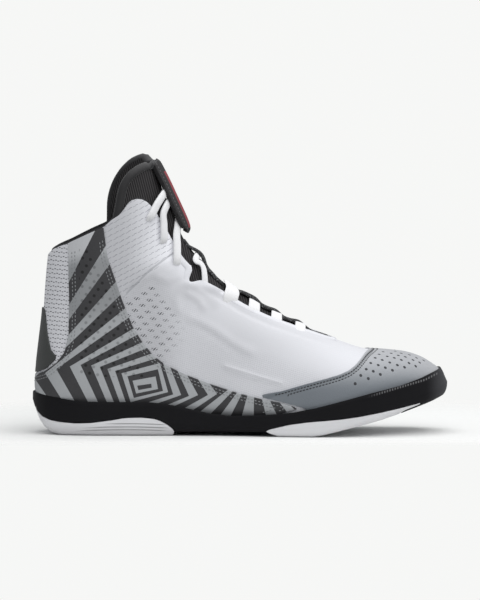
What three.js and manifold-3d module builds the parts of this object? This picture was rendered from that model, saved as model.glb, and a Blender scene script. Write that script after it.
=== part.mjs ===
// A high-top wrestling shoe for the right foot, empty, standing on its sole.
// X runs from the heel to the toe, Y from the outer side to the inner side of the foot, Z up.
// The upper, tongue, insole and overlays all come from one last, a loft of sections that turn
// from upright at the toe to nearly level at the collar.

import * as THREE from "three";
import { mergeVertices } from "three/addons/utils/BufferGeometryUtils.js";
import Module from "manifold-3d";

const wasm = await Module();
wasm.setup();

// Driving sizes, in millimetres
const shoeLength = 288;
const shoeHeight = 194;
const ballWidth = 95.5;
const upperWall = 2.0;
const fitGap = 0.3;
const cupFloor = 2.0;
const tongueThickness = 3.4;
const overlayThickness = 0.9;
const counterThickness = 1.7;
const liningThickness = 1.2;
const liningStandsAbove = 1.8;
const liningDepth = 11;
const laceWidth = 7.4;
const laceThickness = 1.9;
const laceCrossThickness = 3.2;
const laceLies = -1.78;
const keeperClears = 0.8;
const throatEndHalf = 9.5;
const keeperThickness = 1.2;
const keeperWidth = 11;
const tabThickness = 2.2;
const tabWidth = 27;
const eyeletRadius = 1.8;
const upperLiftsOffFloor = 4.0;
const soleEdgeRadius = 4.0;
const bumperLean = 4.4;
const heelRestShare = 0.175;

// Sections of the last, from the toe to above the collar. topX, topZ and lowX, lowZ are the two ends
// of a section in the side view, as shares of the shoe's length and height. half is half the width and
// mid the sideways shift, as shares of the ball width. widest is how far up the section its widest
// place is, and topRound and lowRound are the exponents of its curve above and below that place.
const lastRows = [
  { topX: 0.984, topZ: 0.191, lowX: 0.984, lowZ: 0.152, half: 0.063, mid: 0.11, widest: 0.45, topRound: 2.2, lowRound: 2.6 },
  { topX: 0.98, topZ: 0.214, lowX: 0.978, lowZ: 0.145, half: 0.126, mid: 0.107, widest: 0.42, topRound: 2.2, lowRound: 2.8 },
  { topX: 0.971, topZ: 0.232, lowX: 0.968, lowZ: 0.139, half: 0.188, mid: 0.1, widest: 0.4, topRound: 2.2, lowRound: 3.0 },
  { topX: 0.957, topZ: 0.25, lowX: 0.95, lowZ: 0.13, half: 0.251, mid: 0.085, widest: 0.38, topRound: 2.2, lowRound: 3.2 },
  { topX: 0.933, topZ: 0.275, lowX: 0.923, lowZ: 0.118, half: 0.314, mid: 0.062, widest: 0.36, topRound: 2.25, lowRound: 3.2 },
  { topX: 0.896, topZ: 0.293, lowX: 0.887, lowZ: 0.102, half: 0.372, mid: 0.036, widest: 0.35, topRound: 2.3, lowRound: 3.2 },
  { topX: 0.848, topZ: 0.302, lowX: 0.841, lowZ: 0.08, half: 0.424, mid: 0.01, widest: 0.34, topRound: 2.3, lowRound: 3.2 },
  { topX: 0.8, topZ: 0.309, lowX: 0.793, lowZ: 0.061, half: 0.455, mid: -0.008, widest: 0.33, topRound: 2.3, lowRound: 3.2 },
  { topX: 0.752, topZ: 0.33, lowX: 0.747, lowZ: 0.044, half: 0.466, mid: -0.02, widest: 0.32, topRound: 2.25, lowRound: 3.2 },
  { topX: 0.692, topZ: 0.361, lowX: 0.69, lowZ: 0.034, half: 0.45, mid: -0.034, widest: 0.31, topRound: 2.2, lowRound: 3.2 },
  { topX: 0.62, topZ: 0.402, lowX: 0.62, lowZ: 0.03, half: 0.403, mid: -0.048, widest: 0.3, topRound: 2.15, lowRound: 3.2 },
  { topX: 0.548, topZ: 0.455, lowX: 0.552, lowZ: 0.032, half: 0.351, mid: -0.055, widest: 0.29, topRound: 2.1, lowRound: 3.2 },
  { topX: 0.487, topZ: 0.511, lowX: 0.495, lowZ: 0.038, half: 0.317, mid: -0.05, widest: 0.28, topRound: 2.1, lowRound: 3.2 },
  { topX: 0.434, topZ: 0.573, lowX: 0.434, lowZ: 0.041, half: 0.304, mid: -0.04, widest: 0.27, topRound: 2.1, lowRound: 3.2 },
  { topX: 0.406, topZ: 0.627, lowX: 0.355, lowZ: 0.043, half: 0.307, mid: -0.028, widest: 0.26, topRound: 2.1, lowRound: 3.2 },
  { topX: 0.382, topZ: 0.673, lowX: 0.266, lowZ: 0.043, half: 0.317, mid: -0.015, widest: 0.26, topRound: 2.1, lowRound: 3.2 },
  { topX: 0.362, topZ: 0.716, lowX: 0.172, lowZ: 0.045, half: 0.33, mid: -0.006, widest: 0.28, topRound: 2.1, lowRound: 3.2 },
  { topX: 0.347, topZ: 0.752, lowX: 0.09, lowZ: 0.05, half: 0.34, mid: 0, widest: 0.32, topRound: 2.1, lowRound: 3.1 },
  { topX: 0.336, topZ: 0.786, lowX: 0.034, lowZ: 0.082, half: 0.351, mid: 0, widest: 0.38, topRound: 2.1, lowRound: 2.9 },
  { topX: 0.327, topZ: 0.816, lowX: 0.01, lowZ: 0.152, half: 0.359, mid: 0, widest: 0.42, topRound: 2.1, lowRound: 2.5 },
  { topX: 0.321, topZ: 0.843, lowX: 0.012, lowZ: 0.241, half: 0.364, mid: 0, widest: 0.45, topRound: 2.1, lowRound: 2.3 },
  { topX: 0.315, topZ: 0.87, lowX: 0.019, lowZ: 0.334, half: 0.364, mid: 0, widest: 0.47, topRound: 2.1, lowRound: 2.2 },
  { topX: 0.31, topZ: 0.898, lowX: 0.026, lowZ: 0.423, half: 0.361, mid: 0, widest: 0.48, topRound: 2.1, lowRound: 2.1 },
  { topX: 0.306, topZ: 0.927, lowX: 0.03, lowZ: 0.512, half: 0.356, mid: 0, widest: 0.48, topRound: 2.1, lowRound: 2.1 },
  { topX: 0.301, topZ: 0.955, lowX: 0.035, lowZ: 0.602, half: 0.351, mid: 0, widest: 0.48, topRound: 2.1, lowRound: 2.1 },
  { topX: 0.297, topZ: 0.984, lowX: 0.042, lowZ: 0.684, half: 0.346, mid: 0, widest: 0.48, topRound: 2.1, lowRound: 2.1 },
  { topX: 0.294, topZ: 1.012, lowX: 0.049, lowZ: 0.762, half: 0.34, mid: 0, widest: 0.48, topRound: 2.1, lowRound: 2.1 },
  { topX: 0.29, topZ: 1.045, lowX: 0.057, lowZ: 0.848, half: 0.335, mid: 0, widest: 0.48, topRound: 2.1, lowRound: 2.1 },
];
const heelCornerRow = 18;

// The sole's outline in plan, from the heel to the toe, as shares of the length and the ball width.
const soleRows = [
  { along: 0, half: 0, mid: 0 },
  { along: 0.004, half: 0.095, mid: 0 },
  { along: 0.016, half: 0.18, mid: 0 },
  { along: 0.04, half: 0.262, mid: 0 },
  { along: 0.08, half: 0.318, mid: -0.003 },
  { along: 0.14, half: 0.348, mid: -0.006 },
  { along: 0.21, half: 0.354, mid: -0.01 },
  { along: 0.3, half: 0.346, mid: -0.02 },
  { along: 0.38, half: 0.336, mid: -0.03 },
  { along: 0.44, half: 0.335, mid: -0.04 },
  { along: 0.5, half: 0.35, mid: -0.05 },
  { along: 0.56, half: 0.39, mid: -0.055 },
  { along: 0.62, half: 0.438, mid: -0.048 },
  { along: 0.69, half: 0.484, mid: -0.034 },
  { along: 0.75, half: 0.5, mid: -0.02 },
  { along: 0.8, half: 0.49, mid: -0.008 },
  { along: 0.85, half: 0.46, mid: 0.01 },
  { along: 0.9, half: 0.406, mid: 0.038 },
  { along: 0.94, half: 0.34, mid: 0.064 },
  { along: 0.968, half: 0.27, mid: 0.085 },
  { along: 0.988, half: 0.18, mid: 0.1 },
  { along: 0.997, half: 0.092, mid: 0.108 },
  { along: 1, half: 0, mid: 0.112 },
];

// Outlines in the side view: along is a share of the shoe's length from the heel, up of its height.

// Here, the cup's top edge.
const cupTopRows = [
  { along: -0.01, up: 0.15 }, { along: 0.032, up: 0.141 }, { along: 0.066, up: 0.132 },
  { along: 0.12, up: 0.121 }, { along: 0.2, up: 0.12 }, { along: 0.283, up: 0.12 },
  { along: 0.331, up: 0.111 }, { along: 0.379, up: 0.096 }, { along: 0.427, up: 0.08 },
  { along: 0.475, up: 0.0715 }, { along: 0.55, up: 0.076 }, { along: 0.62, up: 0.086 },
  { along: 0.68, up: 0.094 }, { along: 0.74, up: 0.1135 }, { along: 0.812, up: 0.138 },
  { along: 0.884, up: 0.163 }, { along: 0.933, up: 0.191 }, { along: 0.961, up: 0.214 },
  { along: 0.98, up: 0.2275 }, { along: 1.01, up: 0.233 },
];

// Here, the sole's underside.
const groundRows = [
  { along: -0.01, up: 0.11 }, { along: 0.001, up: 0.1 }, { along: 0.008, up: 0.077 },
  { along: 0.018, up: 0.041 }, { along: 0.032, up: 0.02 }, { along: 0.047, up: 0.007 },
  { along: 0.071, up: 0 }, { along: 0.692, up: 0 }, { along: 0.716, up: 0.006 },
  { along: 0.74, up: 0.015 }, { along: 0.788, up: 0.034 }, { along: 0.836, up: 0.052 },
  { along: 0.884, up: 0.075 }, { along: 0.957, up: 0.113 }, { along: 0.988, up: 0.135 },
  { along: 1.01, up: 0.165 },
];

// Here, the heel tread's upper edge.
const heelTreadRows = [
  { along: -0.02, up: 0.118 }, { along: 0.001, up: 0.112 }, { along: 0.011, up: 0.081 },
  { along: 0.023, up: 0.062 }, { along: 0.042, up: 0.048 }, { along: 0.066, up: 0.041 },
  { along: 0.102, up: 0.036 }, { along: 0.138, up: 0.037 }, { along: 0.187, up: 0.046 },
  { along: 0.22, up: 0.055 }, { along: 0.26, up: 0.057 }, { along: 0.29, up: 0.053 },
  { along: 0.307, up: 0.045 }, { along: 0.326, up: 0.03 }, { along: 0.339, up: 0.013 },
  { along: 0.341, up: 0 }, { along: 0.341, up: -0.02 },
];

// Here, the forefoot tread's upper edge.
const foreTreadRows = [
  { along: 0.557, up: -0.02 }, { along: 0.557, up: 0 }, { along: 0.56, up: 0.009 },
  { along: 0.584, up: 0.019 }, { along: 0.62, up: 0.031 }, { along: 0.66, up: 0.039 },
  { along: 0.74, up: 0.049 }, { along: 0.788, up: 0.059 }, { along: 0.836, up: 0.073 },
  { along: 0.884, up: 0.087 }, { along: 0.923, up: 0.1 }, { along: 0.95, up: 0.1 },
];

// Here, the upper's edge round the collar and its front flap.
const collarRows = [
  { along: 0, up: 0.659 }, { along: 0.047, up: 0.664 }, { along: 0.09, up: 0.684 },
  { along: 0.138, up: 0.716 }, { along: 0.172, up: 0.738 }, { along: 0.19, up: 0.762 },
  { along: 0.208, up: 0.779 }, { along: 0.22, up: 0.798 }, { along: 0.23, up: 0.82 },
  { along: 0.24, up: 0.833 }, { along: 0.252, up: 0.838 }, { along: 0.264, up: 0.836 },
  { along: 0.276, up: 0.827 }, { along: 0.29, up: 0.806 },
];

// Here, the upper's edge down the throat.
const throatRows = [
  { along: 0.3, up: 0.784 }, { along: 0.312, up: 0.755 }, { along: 0.326, up: 0.72 },
  { along: 0.341, up: 0.68 }, { along: 0.357, up: 0.637 }, { along: 0.372, up: 0.609 },
  { along: 0.383, up: 0.6 }, { along: 0.384, up: 0.58 }, { along: 0.373, up: 0.55 },
  { along: 0.378, up: 0.537 }, { along: 0.408, up: 0.548 }, { along: 0.434, up: 0.529 },
  { along: 0.456, up: 0.512 }, { along: 0.511, up: 0.461 }, { along: 0.569, up: 0.421 },
  { along: 0.629, up: 0.389 }, { along: 0.668, up: 0.37 }, { along: 0.716, up: 0.3465 },
];

// Here, the tongue's bound back edge.
const tongueBackRows = [
  { along: 0.176, up: 0.66 }, { along: 0.18, up: 0.74 }, { along: 0.181, up: 0.816 },
  { along: 0.182, up: 0.852 }, { along: 0.187, up: 0.895 }, { along: 0.199, up: 0.934 },
  { along: 0.215, up: 0.968 }, { along: 0.235, up: 0.988 }, { along: 0.259, up: 0.998 },
  { along: 0.283, up: 1 }, { along: 0.31, up: 0.985 },
];

// Here, the rest of what the tongue fills, clear of its front.
const tongueFrontRows = [
  { along: 0.4, up: 0.9 }, { along: 0.78, up: 0.5 }, { along: 0.76, up: 0.33 },
  { along: 0.74, up: 0.322 }, { along: 0.7, up: 0.337 }, { along: 0.62, up: 0.372 },
  { along: 0.5, up: 0.452 }, { along: 0.42, up: 0.5 }, { along: 0.36, up: 0.53 },
  { along: 0.31, up: 0.58 }, { along: 0.25, up: 0.62 },
];

// Here, the toe cap.
const toeCapRows = [
  { along: 0.552, up: 0.129 }, { along: 0.553, up: 0.139 }, { along: 0.6, up: 0.151 },
  { along: 0.644, up: 0.17 }, { along: 0.692, up: 0.189 }, { along: 0.735, up: 0.207 },
  { along: 0.759, up: 0.222 }, { along: 0.776, up: 0.241 }, { along: 0.79, up: 0.266 },
  { along: 0.802, up: 0.29 }, { along: 0.815, up: 0.305 }, { along: 0.84, up: 0.34 },
  { along: 1.1, up: 0.34 }, { along: 1.1, up: 0.05 }, { along: 0.7, up: 0.05 },
  { along: 0.651, up: 0.0925 }, { along: 0.6, up: 0.1135 },
];

// Here, the banded panel.
const wrapRows = [
  { along: 0.09, up: 0.674 }, { along: 0.0885, up: 0.56 }, { along: 0.09, up: 0.477 },
  { along: 0.088, up: 0.352 }, { along: 0.078, up: 0.291 }, { along: 0.059, up: 0.253 },
  { along: 0.03, up: 0.221 }, { along: -0.02, up: 0.2 }, { along: -0.02, up: 0.1 },
  { along: 0.5, up: 0.03 }, { along: 0.64, up: 0.09 }, { along: 0.6, up: 0.1085 },
  { along: 0.552, up: 0.122 }, { along: 0.5, up: 0.142 }, { along: 0.427, up: 0.177 },
  { along: 0.37, up: 0.209 }, { along: 0.32, up: 0.245 }, { along: 0.29, up: 0.28 },
  { along: 0.264, up: 0.327 }, { along: 0.24, up: 0.385 }, { along: 0.215, up: 0.477 },
  { along: 0.196, up: 0.56 }, { along: 0.18, up: 0.63 }, { along: 0.175, up: 0.69 },
  { along: 0.171, up: 0.727 }, { along: 0.135, up: 0.706 },
];

// Here, the heel counter.
const counterRows = [
  { along: -0.02, up: 0.455 }, { along: 0.028, up: 0.455 }, { along: 0.032, up: 0.43 },
  { along: 0.036, up: 0.352 }, { along: 0.045, up: 0.298 }, { along: 0.058, up: 0.275 },
  { along: 0.056, up: 0.264 }, { along: 0.032, up: 0.23 }, { along: -0.02, up: 0.207 },
];

// Eyelets of one side from the top down, as shares in the side view, each with the section of the last
// where its lace crosses the middle of the throat, how far the lace runs before it leaves the upper's
// edge, and half the length of the keeper's rise over it, or none under the tab, both in millimetres.
const eyeletRows = [
  { along: 0.283, up: 0.777, crossesAt: 20.1, overUpper: 6, rise: 0 },
  { along: 0.309, up: 0.691, crossesAt: 20.1, overUpper: 17, rise: 0 },
  { along: 0.343, up: 0.602, crossesAt: 16.7, overUpper: 17, rise: 0 },
  { along: 0.418, up: 0.53, crossesAt: 14.1, overUpper: 7, rise: 9.5 },
  { along: 0.478, up: 0.485, crossesAt: 12.15, overUpper: 7, rise: 5.5 },
  { along: 0.535, up: 0.439, crossesAt: 11.2, overUpper: 7, rise: 5.2 },
  { along: 0.588, up: 0.403, crossesAt: 10.45, overUpper: 7, rise: 5.2 },
  { along: 0.644, up: 0.371, crossesAt: 9.68, overUpper: 7, rise: 5.2 },
];

// How far the tongue's tab and the lace keeper stand off the last, by section.
const tabRows = [
  { section: 25.4, out: -1.9 }, { section: 24.2, out: -1.9 }, { section: 22.6, out: -0.9 }, { section: 21.2, out: 1 },
  { section: 20, out: 1.9 }, { section: 18.5, out: 2.7 }, { section: 17.2, out: 3 }, { section: 16.2, out: 2.4 },
];
const midfootLift = 0.013;

// Numbers of steps in the meshes
const ringPoints = 24;
const curveSamples = 48;
const soleSteps = 34;

const point = (along, up) => new THREE.Vector2(along * shoeLength, up * shoeHeight);
const mix = (a, b, t) => a + (b - a) * t;

// A smooth value through evenly counted ones, at a fractional place among them.
function smooth(values, at) {
  const i = Math.min(Math.floor(at), values.length - 2);
  const t = at - i;
  const p1 = values[i];
  const p2 = values[i + 1];
  const p0 = i > 0 ? values[i - 1] : 2 * p1 - p2;
  const p3 = i + 2 < values.length ? values[i + 2] : 2 * p2 - p1;
  return p1 + 0.5 * t * (p2 - p0 + t * (2 * p0 - 5 * p1 + 4 * p2 - p3 + t * (3 * (p1 - p2) + p3 - p0)));
}

// The height of a side line at a place along the shoe, both in millimetres.
function heightOn(line, x) {
  const next = Math.max(1, line.findIndex((p) => p.x > x));
  const [before, after] = [line[next - 1], line[next]];
  return mix(before.y, after.y, THREE.MathUtils.clamp((x - before.x) / (after.x - before.x), 0, 1));
}

// One section of the last as points in space: up the outer side from its low end, then down the inner.
function lastRing(row, count = ringPoints) {
  const column = (name) => smooth(lastRows.map((r) => r[name]), row);
  const low = point(column("lowX"), column("lowZ"));
  const top = point(column("topX"), column("topZ"));
  const half = column("half") * ballWidth;
  const mid = column("mid") * ballWidth;
  const [widest, topRound, lowRound] = ["widest", "topRound", "lowRound"].map(column);
  const span = low.distanceTo(top);
  const curve = [];
  for (let k = 0; k <= curveSamples; k++) {
    const angle = (k / curveSamples - 0.5) * Math.PI;
    const round = angle < 0 ? lowRound : topRound;
    const reach = angle < 0 ? widest : 1 - widest;
    const up = widest + Math.sign(angle) * reach * Math.abs(Math.sin(angle)) ** (2 / round);
    curve.push(new THREE.Vector2(up * span, half * Math.cos(angle) ** (2 / round)));
  }
  const lengths = [0];
  for (let k = 1; k < curve.length; k++) lengths.push(lengths[k - 1] + curve[k].distanceTo(curve[k - 1]));
  const alongCurve = (share) => {
    const want = share * lengths[curveSamples];
    const k = Math.max(1, lengths.findIndex((l) => l >= want - 1e-9));
    return curve[k - 1].clone().lerp(curve[k], (want - lengths[k - 1]) / (lengths[k] - lengths[k - 1]));
  };
  const ring = [];
  for (let j = 0; j < count; j++) {
    const turn = (2 * j) / count;
    const at = alongCurve(turn <= 1 ? turn : 2 - turn);
    const side = turn <= 1 ? -1 : 1;
    const place = low.clone().lerp(top, at.x / span);
    ring.push(new THREE.Vector3(place.x, mid + side * at.y, place.y));
  }
  return ring;
}

// A place on the last: row counts sections from the toe, turn goes once round a section from its
// low end by the outer side, and out is the distance off the surface.
function onLast(row, turn, out = 0) {
  const step = 0.02;
  const at = (r, t) => {
    const ring = lastRing(r, 96);
    const place = (((t % 1) + 1) % 1) * ring.length;
    return ring[Math.floor(place) % ring.length].clone().lerp(ring[Math.ceil(place) % ring.length], place % 1);
  };
  const here = at(row, turn);
  const lengthwise = at(row + step * 5, turn).sub(at(row - step * 5, turn));
  const roundwise = at(row, turn + step).sub(at(row, turn - step));
  return here.addScaledVector(roundwise.cross(lengthwise).normalize(), out);
}

// Rings of the last moved off its surface by a distance, outwards or, if negative, inwards.
function lastRings(out, firstRow = 0, lastRow = lastRows.length - 1) {
  const rings = [];
  for (let row = 0; row < lastRows.length; row++) rings.push(lastRing(row));
  const moved = rings.map((ring, i) =>
    ring.map((p, j) => {
      const before = rings[Math.max(i - 1, 0)][j];
      const after = rings[Math.min(i + 1, rings.length - 1)][j];
      const left = ring[(j + ringPoints - 1) % ringPoints];
      const right = ring[(j + 1) % ringPoints];
      const normal = right.clone().sub(left).cross(after.clone().sub(before)).normalize();
      return p.clone().addScaledVector(normal, out);
    }),
  );
  return moved.slice(firstRow, lastRow + 1);
}

// A closed solid through rings of points, with a flat fan over each end.
function loft(rings) {
  const count = rings[0].length;
  const middle = (ring) => ring.reduce((sum, p) => sum.add(p), new THREE.Vector3()).divideScalar(count);
  const points = [...rings.flat(), middle(rings[0]), middle(rings[rings.length - 1])];
  const firstMiddle = rings.length * count;
  const index = [];
  for (let j = 0; j < count; j++) {
    const next = (j + 1) % count;
    for (let i = 0; i + 1 < rings.length; i++) {
      const [a, b, c, d] = [i * count + j, i * count + next, (i + 1) * count + j, (i + 1) * count + next];
      index.push(a, c, b, b, c, d);
    }
    const end = (rings.length - 1) * count;
    index.push(firstMiddle, j, next, firstMiddle + 1, end + next, end + j);
  }
  const geometry = new THREE.BufferGeometry().setFromPoints(points).setIndex(index);
  return solidOf(geometry);
}

// A three.js geometry as a solid, turned right way out if it was inside out.
function solidOf(geometry) {
  const bare = geometry.clone();
  bare.deleteAttribute("normal");
  bare.deleteAttribute("uv");
  const merged = mergeVertices(bare, 1e-4);
  const build = (triVerts) =>
    new wasm.Manifold(
      new wasm.Mesh({ numProp: 3, vertProperties: merged.attributes.position.array, triVerts }),
    );
  const corners = new Uint32Array(merged.index.array);
  const made = build(corners);
  if (made.volume() > 0) return made;
  for (let i = 0; i < corners.length; i += 3) [corners[i], corners[i + 1]] = [corners[i + 1], corners[i]];
  return build(corners);
}

// A slab across the shoe whose side view is a closed run of points in millimetres.
function sideSlab(outline, fromY = -ballWidth, toY = ballWidth) {
  const shape = new THREE.Shape(outline);
  const geometry = new THREE.ExtrudeGeometry(shape, { depth: toY - fromY, bevelEnabled: false });
  geometry.rotateX(Math.PI / 2);
  geometry.translate(0, toY, 0);
  return solidOf(geometry);
}

const sidePoints = (rows) => rows.map(({ along, up }) => point(along, up));
const above = (line) => [...line, point(1.1, line[line.length - 1].y / shoeHeight), point(1.1, 1.3), point(-0.1, 1.3), point(-0.1, line[0].y / shoeHeight)];
const below = (line) => [...line, point(1.1, line[line.length - 1].y / shoeHeight), point(1.1, -0.2), point(-0.1, -0.2), point(-0.1, line[0].y / shoeHeight)];

// An open side line moved to its left by a distance, at right angles to itself.
function moved(line, by) {
  return line.map((p, i) => {
    const before = line[Math.max(i - 1, 0)];
    const after = line[Math.min(i + 1, line.length - 1)];
    const along = after.clone().sub(before).normalize();
    return new THREE.Vector2(p.x - along.y * by, p.y + along.x * by);
  });
}

// The line that the last's underside follows, as side points, from the heel's corner to the toe.
function footLine(lift) {
  const rows = lastRows.slice(0, heelCornerRow).reverse();
  return rows.map((row) => point(row.lowX, row.lowZ).add(new THREE.Vector2(0, lift)));
}

// The sole before it is divided: its outline stacked from the ground line to the cup's top line.
function soleBlock() {
  const [ground, cupTop] = [groundRows, cupTopRows].map(sidePoints);
  const outline = [];
  for (let k = 0; k <= soleSteps; k++) {
    const at = ((soleRows.length - 1) * k) / soleSteps;
    const column = (name) => smooth(soleRows.map((r) => r[name]), at);
    const [along, half, mid] = ["along", "half", "mid"].map(column);
    outline.push([along * shoeLength, mid * ballWidth, Math.max(half, 0) * ballWidth]);
  }
  const outer = outline.map(([x, mid, half]) => new THREE.Vector2(x, mid - half));
  const inner = outline.slice(1, -1).reverse().map(([x, mid, half]) => new THREE.Vector2(x, mid + half));
  const plan = [...outer, ...inner];
  const normals = plan.map((p, i) => {
    const before = plan[(i + plan.length - 1) % plan.length];
    const after = plan[(i + 1) % plan.length];
    const along = after.clone().sub(before).normalize();
    return new THREE.Vector2(-along.y, along.x);
  });
  const levels = [
    { up: 0, inset: soleEdgeRadius, lean: 0 },
    { up: 0.06, inset: soleEdgeRadius * 0.45, lean: 0 },
    { up: 0.16, inset: soleEdgeRadius * 0.15, lean: 0 },
    { up: 0.34, inset: 0, lean: 0 },
    { up: 0.8, inset: 0.1, lean: 0.4 },
    { up: 1, inset: 0.4, lean: 1 },
  ];
  const rings = levels.map(({ up, inset, lean }) =>
    plan.map((p, i) => {
      const toeward = THREE.MathUtils.smoothstep(p.x, 0.86 * shoeLength, shoeLength);
      const q = p.clone().addScaledVector(normals[i], inset + lean * bumperLean * toeward);
      const z = mix(heightOn(ground, q.x), heightOn(cupTop, q.x), up);
      return new THREE.Vector3(q.x, q.y, z);
    }),
  );
  return stackWithStrips(rings, soleSteps);
}

// A solid through stacked rings of one plan, each end closed by strips between its two sides.
function stackWithStrips(rings, steps) {
  const count = rings[0].length;
  const index = [];
  for (let i = 0; i + 1 < rings.length; i++) {
    for (let j = 0; j < count; j++) {
      const next = (j + 1) % count;
      index.push(i * count + j, i * count + next, (i + 1) * count + j);
      index.push(i * count + next, (i + 1) * count + next, (i + 1) * count + j);
    }
  }
  const across = (j) => (count - j) % count;
  for (let j = 0; j < steps; j++) {
    const top = (rings.length - 1) * count;
    const corners = [j, j + 1, across(j + 1), across(j)];
    const quad = [[0, 1, 2], [0, 2, 3]];
    quad.forEach((t) => {
      const [a, b, c] = t.map((k) => corners[k]);
      if (a === b || b === c || a === c) return;
      index.push(a, c, b);
      index.push(top + a, top + b, top + c);
    });
  }
  return solidOf(new THREE.BufferGeometry().setFromPoints(rings.flat()).setIndex(index));
}

// The section and turn of the last's surface that show at a place in the side view.
function placeOnLast(seen, side) {
  let best = { row: 12, turn: side < 0 ? 0.35 : 0.65, miss: Infinity };
  for (const [reach, steps] of [[12, 26], [1, 10], [0.2, 10], [0.04, 10]]) {
    const centre = best;
    for (let i = -steps; i <= steps; i++) {
      for (let j = -steps; j <= steps; j++) {
        const row = THREE.MathUtils.clamp(centre.row + (i / steps) * reach, 3, lastRows.length - 2);
        const turn = centre.turn + ((j / steps) * reach * 0.15) / 12;
        const p = onLast(row, turn);
        const miss = Math.hypot(p.x - seen.x, p.z - seen.y);
        if (miss < best.miss) best = { row, turn, miss };
      }
    }
  }
  return best;
}

// A flat strip that follows the last: stations have a row, turn and offset, and the strip's thickness there.
function strip(stations, width) {
  const path = stations.map(({ row, turn, out }) => onLast(row, turn, out));
  const rings = stations.map(({ row, turn, out, thickness }, i) => {
    const before = path[Math.max(i - 1, 0)];
    const after = path[Math.min(i + 1, path.length - 1)];
    const up = onLast(row, turn, out + 1).sub(path[i]).normalize();
    const across = after.clone().sub(before).cross(up).normalize();
    const corners = [[-0.5, 0.5], [-0.36, 0], [0.36, 0], [0.5, 0.5], [0.36, 1], [-0.36, 1]];
    return corners.map(([a, b]) => path[i].clone().addScaledVector(across, a * width).addScaledVector(up, b * thickness));
  });
  return loft(rings);
}

// A band along the middle of the throat or tongue, bent sideways to the last's own curve.
function middleBand(stations, width, thickness) {
  const rings = stations.map(({ section, out }) => {
    const ring = lastRing(section, 48);
    const round = ring.reduce((sum, p, j) => sum + p.distanceTo(ring[(j + 1) % ring.length]), 0);
    const shares = width > 2 * keeperWidth ? [-1, -0.6, 0, 0.6, 1] : [-1, 0, 1];
    const turns = shares.map((share) => 0.5 + (share * width) / 2 / round);
    return [
      ...turns.map((turn) => onLast(section, turn, out)),
      ...turns.reverse().map((turn) => onLast(section, turn, out + thickness)),
    ];
  });
  return loft(rings);
}

const colours = {
  rubberBlack: { color: 0x1b1a1d, roughness: 0.75 },
  rubberWhite: { color: 0xd9d8dc, roughness: 0.6 },
  meshWhite: { color: 0xd6d7dc, roughness: 0.85 },
  tongueBlack: { color: 0x201f22, roughness: 0.9 },
  foamGrey: { color: 0x4a4a4d, roughness: 0.95 },
  bandGrey: { color: 0x77777a, roughness: 0.85 },
  counterGrey: { color: 0x3d403d, roughness: 0.8 },
  capGrey: { color: 0x9ea2a5, roughness: 0.7 },
  laceWhite: { color: 0xf0f0f2, roughness: 0.9 },
};

const shoe = new THREE.Group();
shoe.position.x = -heelRestShare * shoeLength;

function addPiece(name, solid, colour) {
  const mesh = solid.getMesh();
  const geometry = new THREE.BufferGeometry();
  geometry.setAttribute("position", new THREE.BufferAttribute(new Float32Array(mesh.vertProperties), 3));
  geometry.setIndex(new THREE.BufferAttribute(new Uint32Array(mesh.triVerts), 1));
  geometry.computeVertexNormals();
  const piece = new THREE.Mesh(geometry, new THREE.MeshStandardMaterial({ ...colour, metalness: 0 }));
  piece.name = name;
  shoe.add(piece);
}

const eyelets = eyeletRows.map((row) => ({
  ...row,
  outer: placeOnLast(point(row.along, row.up), -1),
}));
const block = soleBlock();
const underFloor = loft(lastRings(fitGap + cupFloor));
const collarLine = sidePoints(collarRows);
const collarAndThroat = (lift) => sideSlab(above([...moved(collarLine, lift), ...sidePoints(throatRows)]));
const tongueOutline = [...sidePoints(tongueBackRows), ...sidePoints(tongueFrontRows)];

// A layer between two offsets of the last, inside an outline seen from the side.
function layer(inner, outer, outline, firstRow = 0) {
  return loft(lastRings(outer, firstRow)).subtract(loft(lastRings(inner, firstRow))).intersect(sideSlab(outline));
}

// The upper: the last's skin with its wall, open at the collar, the throat and underneath, with eyelets.
function makeUpper() {
  const skin = loft(lastRings(0)).subtract(loft(lastRings(-upperWall)));
  const holes = eyelets.flatMap(({ outer }) =>
    [outer.turn, 1 - outer.turn].map((turn) => {
      const hole = new THREE.CylinderGeometry(eyeletRadius, eyeletRadius, 4 * upperWall, 6);
      const centre = onLast(outer.row, turn, -upperWall / 2);
      const normal = onLast(outer.row, turn, 1).sub(centre).normalize();
      hole.applyQuaternion(new THREE.Quaternion().setFromUnitVectors(new THREE.Vector3(0, 1, 0), normal));
      hole.translate(centre.x, centre.y, centre.z);
      return solidOf(hole);
    }),
  );
  return skin
    .subtract(collarAndThroat(0))
    .subtract(throatMiddle())
    .subtract(sideSlab(below(footLine(upperLiftsOffFloor))))
    .subtract(holes.reduce((all, hole) => all.add(hole)));
}

// The throat's middle where it runs nearly level, cut right through the wall.
function throatMiddle() {
  const rows = lastRows.slice(9, 14).reverse();
  const low = rows.map((row) => point(row.topX, row.topZ).add(new THREE.Vector2(0, -2.2 * upperWall)));
  const end = low[low.length - 1];
  const middle = rows[rows.length - 1].mid * ballWidth;
  const high = [new THREE.Vector2(end.x, end.y + 60), new THREE.Vector2(low[0].x, low[0].y + 60)];
  return sideSlab([...low, ...high], middle - throatEndHalf, middle + throatEndHalf);
}

// The lining: a thin band inside the back of the collar, standing a little above its edge.
function makeLining() {
  const inner = -upperWall - fitGap - liningThickness;
  const edge = collarLine.filter((p) => p.x < 0.16 * shoeLength);
  const low = edge.map((p) => new THREE.Vector2(p.x, p.y - liningDepth)).reverse();
  const high = edge.map((p) => new THREE.Vector2(p.x, p.y + liningStandsAbove));
  return layer(inner, -upperWall - fitGap, [...high, ...low], 15);
}

function makeTongue() {
  const outer = -upperWall - fitGap;
  return layer(outer - tongueThickness, outer, tongueOutline, 7);
}

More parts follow.
